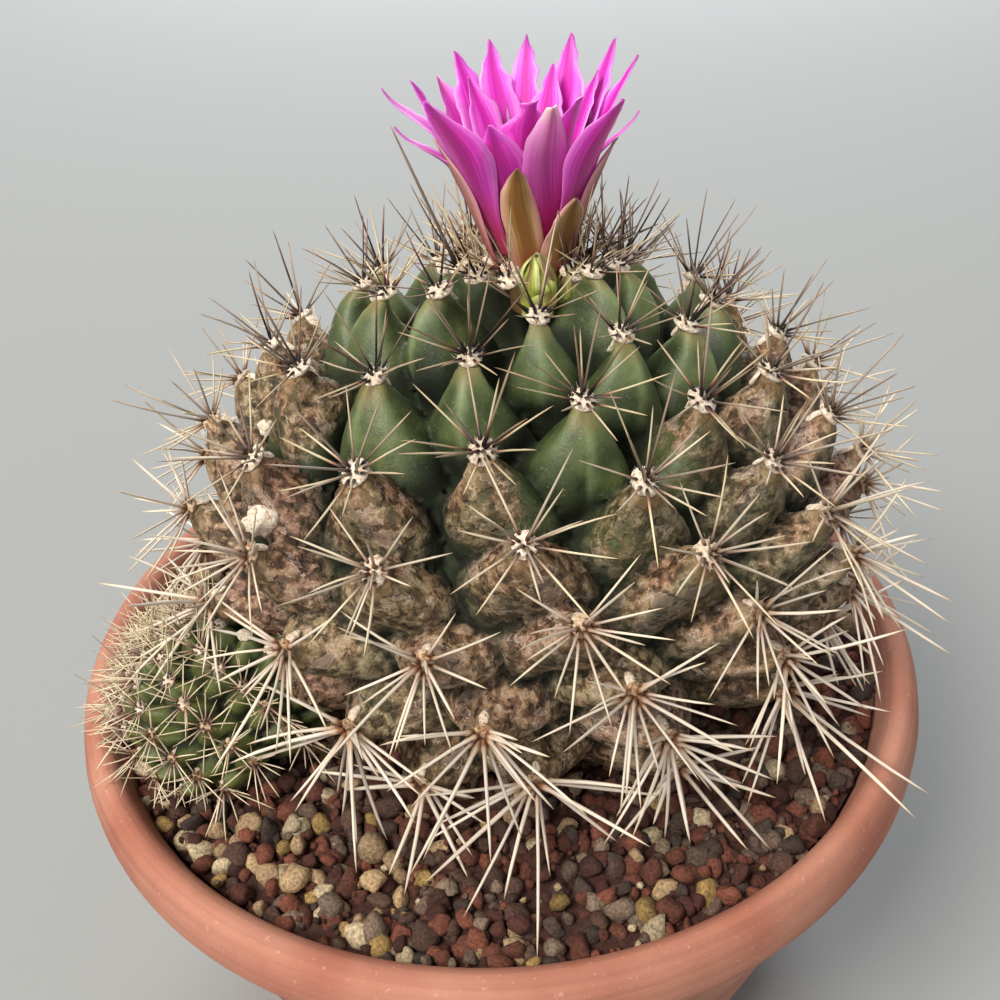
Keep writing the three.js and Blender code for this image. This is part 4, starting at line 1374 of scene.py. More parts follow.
@dataclass(frozen=True)
class SpineFinish:
    """Horny cactus spine: red-brown at its foot, dark or cream along it, greyer and pinker with age."""

    # Cream, brown and grey spines, each from foot to tip
    ramps: tuple[Ramp, ...] = (
        ((0.09, "#24110C"), (0.14, "#7E4230"), (0.25, "#CFA27A"), (0.42, "#EFE2B8"), (0.97, "#DCC594")),
        ((0.03, "#0E0908"), (0.28, "#1C120F"), (0.55, "#55362B"), (0.82, "#9A7866"), (0.97, "#5E4236")),
        ((0.04, "#7E5034"), (0.08, "#C4A68A"), (0.22, "#DED0C0"), (0.8, "#E8DCCA"), (1.0, "#C4AA88")),
    )

    def build(self) -> Material:
        """Makes the material, led by the point numbers along, dark, worn and tone."""
        material, node = started_material("horny spine", Roughness=0.42, Specular_IOR_Level=0.45)
        along, dark, worn, tone = (
            node("Attribute", output="Fac", attribute_name=name)
            for name in ("along", "dark", "worn", "tone")
        )
        cream, brown, grey = (node("ValToRGB", {"Fac": along}, stops=stops) for stops in self.ramps)
        young = node("Mix", {"Factor": dark, "A": cream, "B": brown})
        aged = node("Mix", {"Factor": worn, "A": young, "B": grey})
        amount = node("MapRange", {"Value": tone, "To Min": 0.82, "To Max": 1.1})
        toned = node("HueSaturation", {"Value": amount, "Color": aged})
        return linked_shader(material, Base_Color=toned)


@dataclass(frozen=True)
class WoolFinish:
    """Areole wool: dense cream felt that tans and greys with age."""

    # Fresh wool, then old wool, from its deepest to its fullest felt; the darker colours in the felt's
    # hollows are painted shade
    ramps: tuple[Ramp, ...] = (
        ((0.3, "#9A7258"), (0.41, "#DCC0A2"), (0.54, "#FAEEDA")),
        ((0.34, "#4E3220"), (0.44, "#A47044"), (0.6, "#DDC298")),
    )

    def build(self) -> Material:
        """Makes the material, led by the point numbers worn and tone."""
        material, node = started_material("areole wool", Roughness=1.0, Sheen_Weight=0.3)
        place = node("TexCoord", output="Object")
        worn, tone = (node("Attribute", output="Fac", attribute_name=name) for name in ("worn", "tone"))
        felt = node("TexNoise", {"Vector": place, "Scale": 1 / 0.0007, "Detail": 4, "Roughness": 0.7})
        fresh, old = (node("ValToRGB", {"Fac": felt}, stops=stops) for stops in self.ramps)
        aged = node("Mix", {"Factor": worn, "A": fresh, "B": old})
        amount = node("MapRange", {"Value": tone, "To Min": 0.85, "To Max": 1.05})
        toned = node("HueSaturation", {"Value": amount, "Color": aged})
        bump = node("Bump", {"Height": felt, "Strength": 0.7, "Distance": 0.0005})
        return linked_shader(material, Base_Color=toned, Normal=bump)


@dataclass(frozen=True)
class SpineRule:
    """How the spines of an areole change with age: one value for each of the ages."""

    ages: Row
    radials: Row
    centrals: Row
    radial_length: Row
    central_length: Row
    radial_lift: Row
    central_lift: Row
    width: Row
    droop: Row
    radial_dark: Row
    central_dark: Row
    worn: Row

    def at(self, name: str, age: float) -> float:
        """The value of a named column at an age."""
        return float(np.interp(age, self.ages, getattr(self, name)))


STEM_SPINES = SpineRule(
    ages=(0.0, 0.2, 0.4, 0.6, 0.8, 1.0), radials=(9, 9, 9, 10, 11, 11), centrals=(3, 5, 5, 5, 5, 4),
    radial_length=(10, 12.5, 13, 14, 20.5, 26), central_length=(15, 16, 16.5, 18, 25, 33),
    radial_lift=(40, 28, 26, 26, 26, 22), central_lift=(72, 62, 56, 52, 46, 38),
    width=(0.32, 0.38, 0.43, 0.5, 0.64, 0.8), droop=(0.0, 0.0, 0.05, 0.15, 0.25, 0.25),
    radial_dark=(0.75, 0.3, 0.15, 0.0, 0.0, 0.0), central_dark=(1.0, 0.95, 0.8, 0.35, 0.1, 0.0),
    worn=(0.0, 0.0, 0.25, 0.75, 0.95, 1.0),
)
# The one long dark spine that stands up left of the flower: its root, its tip and its width
LONG_SPINE = (Vector((-3.5, 6, 173)), Vector((-12.8, 2, 200.5)), 0.6)
# Scars and dry remains on the stem: where each is, its size, and its age from white to orange-brown
STEM_LUMPS = (
    (Vector((-40.6, -26.6, 140.6)), 2.7, 0.0), (Vector((-43.0, 3.0, 141.8)), 1.6, 0.0),
    (Vector((-52.8, 1.4, 143.9)), 1.8, 0.9),
)
OFFSET_SPINES = SpineRule(
    ages=(0.0, 1.0), radials=(12, 11), centrals=(3, 2), radial_length=(8.0, 8.5), central_length=(11, 9),
    radial_lift=(34, 28), central_lift=(62, 55), width=(0.26, 0.3), droop=(0.0, 0.1),
    radial_dark=(0.05, 0.0), central_dark=(0.7, 0.1), worn=(0.3, 0.45),
)


@dataclass(frozen=True)
class Spines:
    """All the spines of a body."""

    name: str
    slot: str
    rule: SpineRule
    foot_radius: float
    foot_rise: float
    seed: int
    barriers: tuple[Callable[[Vector], bool], ...]
    singles: tuple[tuple[Vector, Vector, float], ...] = ()
    sides: int = 6
    raises: Row = (0, 12, 24, 38, 52)
    steepest: float = 88.0
    crown_age: float = 0.12
    # The share of pale spines at the crown, left of the flower and elsewhere
    pale_shares: tuple[float, float] = (0.6, 0.12)
    stations: tuple[tuple[float, float], ...] = (
        (0.0, 1.2), (0.03, 1.7), (0.08, 1.5), (0.13, 1.02), (0.45, 0.95), (0.75, 0.82), (0.92, 0.5),
        (1.0, 0.08),
    )

    def needle(self) -> Shape:
        """One spine along +Z at unit length and radius, with a swollen foot."""
        return Shape.taken_from(drawn_rod(self.sides, self.stations))

    def is_clear(self, root: Vector, tip: Vector, bend: Vector) -> bool:
        """Whether a spine misses all that it must keep out of."""
        for share in np.arange(0.15, 1.001, 0.085):
            point = root + (tip - root) * share + bend * share * share
            if any(inside(point) for inside in self.barriers):
                return False
        return True

    def grown(
        self, needle: Shape, areole: Areole, rng: Generator, angle: float, central: bool
    ) -> Shape | None:
        """One spine, raised until it is clear, or nothing where it can't be."""
        age = areole.life
        side = "central" if central else "radial"
        old = float(smoothstep(0.45, 0.85, age))
        length = self.rule.at(f"{side}_length", age) * rng.uniform(0.68 - 0.16 * old, 1.18)
        upward = 0.5 + 0.5 * math.sin(angle)
        length *= 1 - 0.45 * upward * float(smoothstep(0.5, 1.0, age))
        lift = self.rule.at(f"{side}_lift", age) + rng.uniform(-13, 13) * (1 + 0.5 * old)
        foot = self.foot_radius * (rng.uniform(0.15, 0.5) if central else rng.uniform(0.85, 1.02))
        rise = self.foot_rise * (0.95 if central else 0.62)
        root = areole.spot(foot * math.cos(angle), foot * math.sin(angle), rise)
        dark = self.rule.at(f"{side}_dark", age)
        if not central:
            dark += 0.5 * upward * (1 - age) * (1 if self.slot == "stem_skin" else 0)
        pale_share = self.pale_shares[areole.point.x >= FLOWER_BASE.x - 4]
        if age < self.crown_age and rng.random() < pale_share:
            dark -= 0.75
        dark = float(np.clip(dark + rng.uniform(-0.2, 0.2), 0, 1))
        worn = float(np.clip(self.rule.at("worn", age) + rng.uniform(-0.15, 0.15), 0, 1))
        width = self.rule.at("width", age) * rng.uniform(0.85, 1.12) * (1.1 if central else 1.0)
        bend_size = rng.normal(0, 0.05 + 0.05 * old) * length
        for extra in self.raises:
            tilt = math.radians(min(lift + extra, self.steepest))
            flat, steep = math.cos(tilt), math.sin(tilt)
            sideways = areole.side * (math.cos(angle) * flat)
            direction = sideways + areole.up * (math.sin(angle) * flat) + areole.out * steep
            across = direction.cross(areole.side + areole.up * 0.3).normalized()
            bend = across * bend_size - UP * (0.03 * length * age)
            if self.is_clear(root, root + direction * length, bend):
                half_widths = (across * (width / 2), direction.cross(across) * (width / 2))
                axes = (direction * length, bend, *half_widths)
                return self.bent(needle, root, axes, dark=dark, worn=worn, tone=rng.random())
        return None

    def bent(self, needle: Shape, root: Vector, axes: tuple[Vector, ...], **values: float) -> Shape:
        """Sets the unit needle along a slightly curved line.

        Args:
            needle: The unit needle.
            root: Where its foot is.
            axes: The way to its tip, the bend at its tip, and its two half widths.
            **values: Its colour numbers.

        Returns:
            The spine in its place.
        """
        x, y, z = needle.points.T
        parts = (np.outer(share, axis) for share, axis in zip((z, z * z, x, y), axes))
        return needle.moved(np.array(root) + sum(parts), along=z, **values)

    def single(self, needle: Shape, root: Vector, tip: Vector, width: float) -> Shape:
        """One dark spine from a given root to a given tip."""
        direction = (tip - root).normalized()
        across = direction.orthogonal().normalized()
        half_widths = (across * (width / 2), direction.cross(across) * (width / 2))
        axes = (tip - root, Vector((0, 0, 0)), *half_widths)
        return self.bent(needle, root, axes, dark=0.85, worn=0.1, tone=0.5)

    def build(self, areoles: list[Areole]) -> Object:
        """Grows the spines of all areoles."""
        rng = np.random.default_rng(self.seed)
        needle = self.needle()
        spines = [self.single(needle, *single) for single in self.singles]
        for areole in areoles:
            age = areole.life
            radials = round(self.rule.at("radials", age) + rng.uniform(-0.9, 0.9))
            centrals = round(self.rule.at("centrals", age) + rng.uniform(-0.7, 0.7))
            droop = self.rule.at("droop", age)
            for count, central in ((radials, False), (centrals, True)):
                phase = rng.uniform(0, 0.5)
                for k in range(count):
                    from_foot = ((k + 0.5 + phase * central) / count - 0.5) * math.tau
                    from_foot += rng.uniform(-0.26, 0.26) * (1 + 0.9 * float(smoothstep(0.45, 0.85, age)))
                    angle = -math.pi / 2 + from_foot * (1 - droop)
                    spine = self.grown(needle, areole, rng, angle, central)
                    if spine:
                        spines.append(spine)
        log.info("%s: %d spines", self.name, len(spines))
        return fitted(made_object(self.name, joined(spines), SpineFinish().build()), self.slot)


@dataclass(frozen=True)
class Wool:
    """The woolly pads of the areoles, with the tongue above each and short loose hairs."""

    name: str
    slot: str
    lattice: Lattice
    radius: float
    height: float
    tongue: float
    hairs: int
    hair_length: float
    seed: int
    lumps: tuple[tuple[Vector, float, float], ...] = ()

    def tongue_of(
        self, ball: Shape, areole: Areole, skin: BVHTree, rng: Generator, **values: float
    ) -> list[Shape]:
        """The strip of wool that runs from the areole over the top of the tubercle, laid on the skin."""
        age = areole.life
        reach = self.tongue * (1.0 - 0.4 * age) * rng.uniform(0.7, 1.15)
        half_width = self.radius * rng.uniform(0.48, 0.62) * (1 - 0.45 * age)
        stations, normals = [], []
        middle = areole.spot(0, -0.5, -5.0)
        for angle in np.radians(np.linspace(12, 12 + 12 * reach, 7)):
            away = areole.out * math.cos(angle) + areole.up * math.sin(angle)
            hit, normal, _, _ = skin.ray_cast(middle + away * 16, -away, 15)
            if hit is None:
                break
            stations.append(hit)
            normals.append(normal)
        if len(stations) < 4:
            return []
        share = (ball.points[:, 1] + 1) / 2
        places = np.arange(len(stations)) / (len(stations) - 1)
        along = np.stack([np.interp(share, places, [p[k] for p in stations]) for k in range(3)], axis=1)
        facing = np.stack([np.interp(share, places, [n[k] for n in normals]) for k in range(3)], axis=1)
        rough = 1 + 0.3 * noise_at(ball.points * 3 + rng.uniform(0, 90), 1.0)
        narrowed = half_width * (1.3 - 0.55 * share)
        sideways = (ball.points[:, 0] * rough * narrowed)[:, None] * np.array(areole.side)
        raised = (ball.points[:, 2] * rough * 0.5 * self.height + 0.2)[:, None] * facing
        return [ball.moved(along + sideways + raised, **values)]

    def pad(self, ball: Shape, areole: Areole, skin: BVHTree, rng: Generator) -> list[Shape]:
        """The pad of one areole and the tongue above it."""
        age = areole.life
        old = float(smoothstep(0.4, 0.75, age))
        width = self.radius * rng.uniform(0.92, 1.08) * (1 - 0.25 * old)
        worn = float(np.clip(smoothstep(0.38, 0.66, age) + rng.uniform(-0.15, 0.1), 0, 1))
        tone = rng.random()
        rough = 1 + (0.12 + 0.22 * old) * noise_at(ball.points * 3 + rng.uniform(0, 90), 1.0)
        local = ball.points * rough[:, None] * (width, width * 1.15, self.height * (1 - 0.35 * old))
        pads = [ball.moved(local @ areole.axes() + np.array(areole.point), worn=worn, tone=tone)]
        return pads + self.tongue_of(ball, areole, skin, rng, worn=worn * 0.25, tone=1.0)

    def lump(self, ball: Shape, place: Vector, size: float, worn: float) -> Shape:
        """A scar or a dry remain on the skin, of a given size and age."""
        rough = 1 + 0.5 * noise_at(ball.points * 2.2 + np.array(place), 1.0)
        local = ball.points * rough[:, None] * (size, size * 0.8, size * 1.15)
        return ball.moved(local + np.array(place), worn=worn, tone=1.0)

    def hair_coat(self, hair: Shape, areole: Areole, rng: Generator) -> list[Shape]:
        """Loose hairs on one pad."""
        coat = []
        age = areole.life
        worn = float(smoothstep(0.5, 0.85, age)) * 0.8
        for _ in range(self.hairs):
            angle = rng.uniform(0, math.tau)
            reach = self.radius * math.sqrt(rng.uniform(0, 1)) * 1.02
            root = areole.spot(reach * math.cos(angle), reach * math.sin(angle) * 1.12, 0.2 * self.height)
            splay = 0.9 * reach / self.radius
            direction = (
                areole.out
                + (areole.side * math.cos(angle) + areole.up * math.sin(angle)) * splay
                + Vector(rng.normal(0, 0.35, 3))
            ).normalized()
            axes = rows_along(direction, 0.06, self.hair_length * rng.uniform(0.6, 1.3))
            coat.append(hair.placed(root, axes, worn=worn, tone=rng.random()))
        return coat

    def build(self, areoles: list[Areole], skin: BVHTree) -> Object:
        """Makes the wool of all areoles, laid on the skin."""
        rng = np.random.default_rng(self.seed)
        ball = Shape.taken_from(primitive("ico_sphere", subdivisions=3, radius=1.0))
        hair = Shape.taken_from(
            primitive("cone", vertices=3, radius1=1.0, radius2=0.0, depth=1.0, location=(0, 0, 0.5))
        )
        shapes = []
        for areole in areoles:
            shapes += self.pad(ball, areole, skin, rng)
            shapes += self.hair_coat(hair, areole, rng)
        shapes += [self.lump(ball, *lump) for lump in self.lumps]
        return fitted(made_object(self.name, joined(shapes), WoolFinish().build()), self.slot)


# Flower


class BladeKind(Enum):
    """Which blade of the flower or bud a finish is for."""

    PETAL = "petal"
    TEPAL = "tepal"
    SCALE = "bud scale"


# A blade's outer and inner face from its middle to its edge, then its foot and its tip; the petals' palest
# inner edge is a painted highlight
BLADE_COLOURS = {
    BladeKind.PETAL: (
        ((0.0, "#A41284"), (0.2, "#A41284"), (0.6, "#C836AC"), (0.98, "#DA68C4")),
        ((0.0, "#C41EA6"), (0.2, "#C41EA6"), (0.5, "#EA56D6"), (0.95, "#F49AEC")), "#C4104F", "#962890",
    ),
    BladeKind.TEPAL: (
        ((0.0, "#85592A"), (0.2, "#85592A"), (0.6, "#A9834A"), (0.98, "#DCA898")),
        ((0.0, "#8A5A34"), (0.2, "#8A5A34"), (0.5, "#B07A6A"), (0.95, "#E0A0B4")), "#A0463A", "#5A3416",
    ),
    BladeKind.SCALE: (
        ((0.0, "#7A6348"), (0.2, "#7A6348"), (0.6, "#B9C44E"), (0.98, "#DDE0A0")),
        ((0.0, "#8E8A50"), (0.2, "#8E8A50"), (0.5, "#B9C46A"), (0.95, "#D6DB9A")), "#B4C24A", "#6B5446",
    ),
}
FADED_PETAL = ((0.0, "#B8145C"), (0.35, "#BE2C86"), (0.7, "#CE64B0"), (0.9, "#E2A2C2"), (1.0, "#E6D8AE"))


@dataclass(frozen=True)
class BladeFinish:
    """Thin silky petal tissue, or the tougher tissue of the outer tepals and the bud's scales."""

    kind: BladeKind

    def build(self) -> Material:
        """Makes the material, led by the point numbers across, along, inner, tone and pale."""
        petal = self.kind is BladeKind.PETAL
        material, node = started_material(
            f"living {self.kind.value} tissue", Roughness=0.45 if petal else 0.55,
            Sheen_Weight=0.1 if petal else 0.0, Subsurface_Weight=0.5 if petal else 0.0,
            Subsurface_Radius=(1.0, 0.45, 0.8), Subsurface_Scale=0.0012,
        )
        across, along, inner, tone, pale = (
            node("Attribute", output="Fac", attribute_name=name)
            for name in ("across", "along", "inner", "tone", "pale")
        )
        stretched = {
            axis: node("Math", (number, stretch))
            for axis, number, stretch in (("X", across, 9.0), ("Y", along, 1.6), ("Z", tone, 40.0))
        }
        veins = node("TexNoise", {"Vector": node("CombineXYZ", stretched), "Scale": 1.0, "Detail": 4})
        width = node("Math", (across,), operation="ABSOLUTE")
        sway = node(
            "MapRange", {"Value": veins, "From Min": 0.3, "From Max": 0.7, "To Min": -0.22, "To Max": 0.22}
        )
        wavered = node("Math", (width, sway), operation="ADD")
        *faces, foot, tip = BLADE_COLOURS[self.kind]
        # The petals' inner face turns palest at its edges: a painted highlight
        outer, bright = (node("ValToRGB", {"Fac": wavered}, stops=stops) for stops in faces)
        colour = node("Mix", {"Factor": inner, "A": outer, "B": bright})
        foot_share = node(
            "MapRange", {"Value": along, "From Min": 0.5, "From Max": 0.05, "To Max": 0.9},
            interpolation_type="SMOOTHSTEP",
        )
        tip_share = node("MapRange", {"Value": along, "From Min": 0.86, "To Max": 0.7})
        # The foremost petal is faded, most of all towards its cream tip
        faded = node("ValToRGB", {"Fac": along}, stops=FADED_PETAL)
        fading = node("MapRange", {"Value": wavered, "From Min": 0.1, "From Max": 0.4, "To Min": 0.35})
        fade_share = node("Math", (fading, pale))
        for share, layer in ((foot_share, foot), (tip_share, tip), (fade_share, faded)):
            colour = node("Mix", {"Factor": share, "A": colour, "B": layer})
        bump = node("Bump", {"Height": veins, "Strength": 0.25, "Distance": 0.0004})
        return linked_shader(material, Base_Color=colour, Normal=bump)


@dataclass(frozen=True)
class Blade:
    """One blade: where its root and its tip are in the flower's own frame, how wide it is and its looks."""

    tip: tuple[float, float, float]
    width: float
    root: float
    height: float
    curl: float = 0.0
    pale: float = 0.0
    twist: float = 0.0
    ragged: float = 1.0
    blunt: float = 0.0


@dataclass(frozen=True)
class BladeRing:
    """One ring of blades: how many, where they start and end, and how wide they are."""

    count: int
    root: float
    tip: float
    rise: float
    width: float
    phase: float
    height: float
    curl: float = 0.0
    spread: float = 0.16
    arc: float = math.tau

    def blades(self, rng: Generator) -> list[Blade]:
        """The ring's blades, each a little unlike the others."""
        found = []
        for k in range(self.count):
            angle = (k + self.phase) * self.arc / self.count + self.spread * rng.uniform(-0.5, 0.5)
            size = 1 + 0.16 * rng.uniform(-0.5, 0.5)
            tip = (
                self.tip * size * math.cos(angle), self.tip * size * math.sin(angle),
                self.height + self.rise * size,
            )
            curl = self.curl * rng.uniform(0.2, 1.0)
            found.append(Blade(tip, self.width, self.root, self.height, curl, twist=rng.normal(0, 0.25)))
        return found


@dataclass(frozen=True)
class Blades:
    """Thin blades round the flower's axis: one modelled blade, copied and bent to each place."""

    kind: BladeKind
    thickness: float
    seed: int
    widths: tuple[tuple[float, float], ...]
    singles: tuple[Blade, ...] = ()
    rings: tuple[BladeRing, ...] = ()
    ragged: float = 0.0
    cup: float = 0.22
    flare: float = 0.42

    def blade(self) -> Shape:
        """A flat blade: x across and y along from -1 to 1, z its two faces."""
        blade = primitive("grid", x_subdivisions=8, y_subdivisions=30, size=2)
        apply_modifier(blade, "SOLIDIFY", thickness=2.0, offset=0.0)
        return Shape.taken_from(blade)

    def curved(self, flat: Shape, blade: Blade, rng: Generator) -> Shape:
        """One blade in its place.

        Args:
            flat: The modelled blade.
            blade: The place and the size of this one.
            rng: Random numbers for its waves and its tone.

        Returns:
            The blade in the flower's own frame.
        """
        angle = math.atan2(blade.tip[1], blade.tip[0])
        reach = math.hypot(blade.tip[0], blade.tip[1])
        away = toward(angle)
        side = Vector((-away.y, away.x, 0))
        u, w = flat.points[:, 0], np.sign(flat.points[:, 2])
        v = 1 - (1 - (flat.points[:, 1] + 1) / 2) ** 1.2
        start = np.array([blade.root, blade.height])
        end = np.array([reach, blade.tip[2]])
        bend = np.array([blade.root + self.flare * (reach - blade.root), (blade.height + blade.tip[2]) / 2])
        curve = np.outer((1 - v) ** 2, start) + np.outer(2 * v * (1 - v), bend) + np.outer(v**2, end)
        slope = np.outer(2 * (1 - v), bend - start) + np.outer(2 * v, end - bend)
        slope /= np.linalg.norm(slope, axis=1, keepdims=True)
        shares, sizes = zip(*self.widths)
        half = np.interp(v * (1 - 0.13 * blade.blunt), shares, sizes) * blade.width / 2
        seed = rng.uniform(0, 90)
        torn = np.array([noise.noise(Vector((a * 15, b * 1.5, seed))) for a, b in zip(v, np.sign(u))])
        torn = np.clip(torn * 1.5, -0.7, 0.4) * smoothstep(0.55, 0.9, v) * (np.abs(u) > 0.7)
        half = half * (1 + self.ragged * blade.ragged * torn)
        sway = np.array([noise.noise(Vector((a * 2.2, seed, 3))) for a in v]) * 0.22 * blade.width * v
        curl = blade.curl * smoothstep(0.6, 1.0, v) * blade.width
        ripple = 0.06 * blade.width * np.sin(v * 9 + seed) * u**2
        twist = blade.twist * smoothstep(0.1, 0.7, v)
        lift = self.cup * u**2 * half + ripple + w * self.thickness / 2 * (1 - 0.6 * u**2)
        x = u * half * np.cos(twist) + sway
        lift = lift + u * half * np.sin(twist)
        out = curve[:, 0] - lift * slope[:, 1] + curl * 0.8
        height = curve[:, 1] + lift * slope[:, 0] - curl * 0.35
        points = np.outer(out, away) + np.outer(x, side) + np.outer(height, UP)
        return flat.moved(points, across=u, along=v, inner=(w > 0), tone=rng.random(), pale=blade.pale)

    def build(self) -> list[Shape]:
        """All blades, in the flower's own frame."""
        rng = np.random.default_rng(self.seed)
        flat = self.blade()
        blades = [*self.singles, *(blade for ring in self.rings for blade in ring.blades(rng))]
        return [self.curved(flat, blade, rng) for blade in blades]


def in_flower(points: Array) -> Array:
    """Moves points from the flower's own frame to the crown."""
    turn = np.array(UP.rotation_difference(FLOWER_AXIS).to_matrix())
    return points @ turn.T + np.array(FLOWER_BASE)


# The angle from one stamen to the next, and the sizes of the style that they stand around
GOLDEN_ANGLE = 2.39996
STYLE_HEIGHT = 16.0
STAMEN_RISE = 4.6
STIGMA_LOBES = 8

PETAL_WIDTHS = (
    (0, 0.42), (0.2, 0.62), (0.42, 0.86), (0.58, 1.0), (0.7, 0.95), (0.8, 0.76), (0.88, 0.5), (0.95, 0.25),
    (1, 0.05),
)
TEPAL_WIDTHS = ((0, 0.7), (0.3, 0.9), (0.6, 1.0), (0.8, 0.84), (0.92, 0.46), (1, 0.04))
THROAT = TUBE_HEIGHT - 1
TEPAL_FOOT = TUBE_HEIGHT - 7

# The bright inner petals at the back, from left to right, then shorter ones inside them
INNER_PETALS = tuple(
    Blade(tip, width, root, THROAT, curl, pale)
    for tip, width, root, curl, pale in (
        ((-17.5, 8.0, 41.3), 6.6, 5.2, 0.1, 0.0), ((-13.0, 14.0, 39.6), 7.0, 5.0, 0.15, 0.3),
        ((-9.6, 17.5, 42.6), 8.4, 5.2, 0.0, 0.0), ((-3.2, 19.0, 43.4), 7.6, 5.2, 0.0, 0.0),
        ((4.4, 19.5, 43.2), 7.4, 5.2, 0.0, 0.0), ((13.3, 18.5, 42.4), 9.8, 5.4, 0.0, 0.0),
        ((20.4, 14.5, 41.6), 7.2, 5.4, 0.1, 0.0), ((23.6, 9.0, 39.6), 5.2, 5.4, 0.15, 0.0),
        ((-7.0, 12.5, 39.0), 7.0, 3.8, 0.0, 0.0), ((8.6, 14.0, 38.6), 7.6, 3.8, 0.0, 0.0),
        ((16.5, 10.0, 37.5), 6.6, 3.8, 0.1, 0.0),
    )
)
# The outer petals in front, from left to right
FRONT_PETALS = (
    Blade((-18.9, 0.5, 44.2), 6.2, 5.8, THROAT, 0.75), Blade((-17.4, -3.0, 38.2), 5.6, 6.0, THROAT, 0.85),
    Blade((2.6, -8.0, 38.6), 10.5, 5.2, THROAT, 0.0, 0.0, 0.0, 1.2, 0.5),
    Blade((11.2, -8.0, 38.0), 10.0, 5.2, THROAT, 0.0, 0.0, 0.0, 1.2, 0.5),
    Blade((-4.4, -10.6, 36.6), 10.0, 5.6, THROAT, 0.0, 0.0, 0.15, 0.4),
    Blade((-13.6, -10.0, 42.8), 9.8, 6.0, THROAT, 0.1, 0.0, 0.35, 0.4),
    Blade((18.4, -12.2, 39.2), 9.6, 6.0, THROAT, 0.1, 0.0, -0.3, 0.5),
    Blade((6.3, -13.6, 39.0), 9.2, 6.4, THROAT, 0.0, 0.8, 0.0, 0.3, 0.3),
    Blade((19.4, -4.5, 35.0), 4.6, 5.8, THROAT, 0.8),
)
OUTER_TEPALS = (
    Blade((-0.9, -12.6, 29.2), 7.0, 7.2, TEPAL_FOOT), Blade((9.4, -12.2, 22.0), 8.6, 7.2, TEPAL_FOOT),
    Blade((-14.4, -4.0, 33.5), 6.0, 6.8, TEPAL_FOOT, 0.0, 0.3),
    Blade((17.8, -5.0, 29.5), 6.6, 6.8, TEPAL_FOOT, 0.0, 0.3),
)


@dataclass(frozen=True)
class PollenFinish:
    """Pale filaments with powdery yellow pollen on their ends."""

    parts: Ramp = (
        (0.2, "#E7C9D2"), (0.4, "#EBD9A8"), (0.55, "#E9C36A"), (0.8, "#E8BE3A"), (0.95, "#F2D65E")
    )

    def build(self) -> Material:
        """Makes the material, led by the point number part."""
        material, node = started_material("pollen and filaments", Roughness=0.7)
        part = node("Attribute", output="Fac", attribute_name="part")
        return linked_shader(material, Base_Color=node("ValToRGB", {"Fac": part}, stops=self.parts))


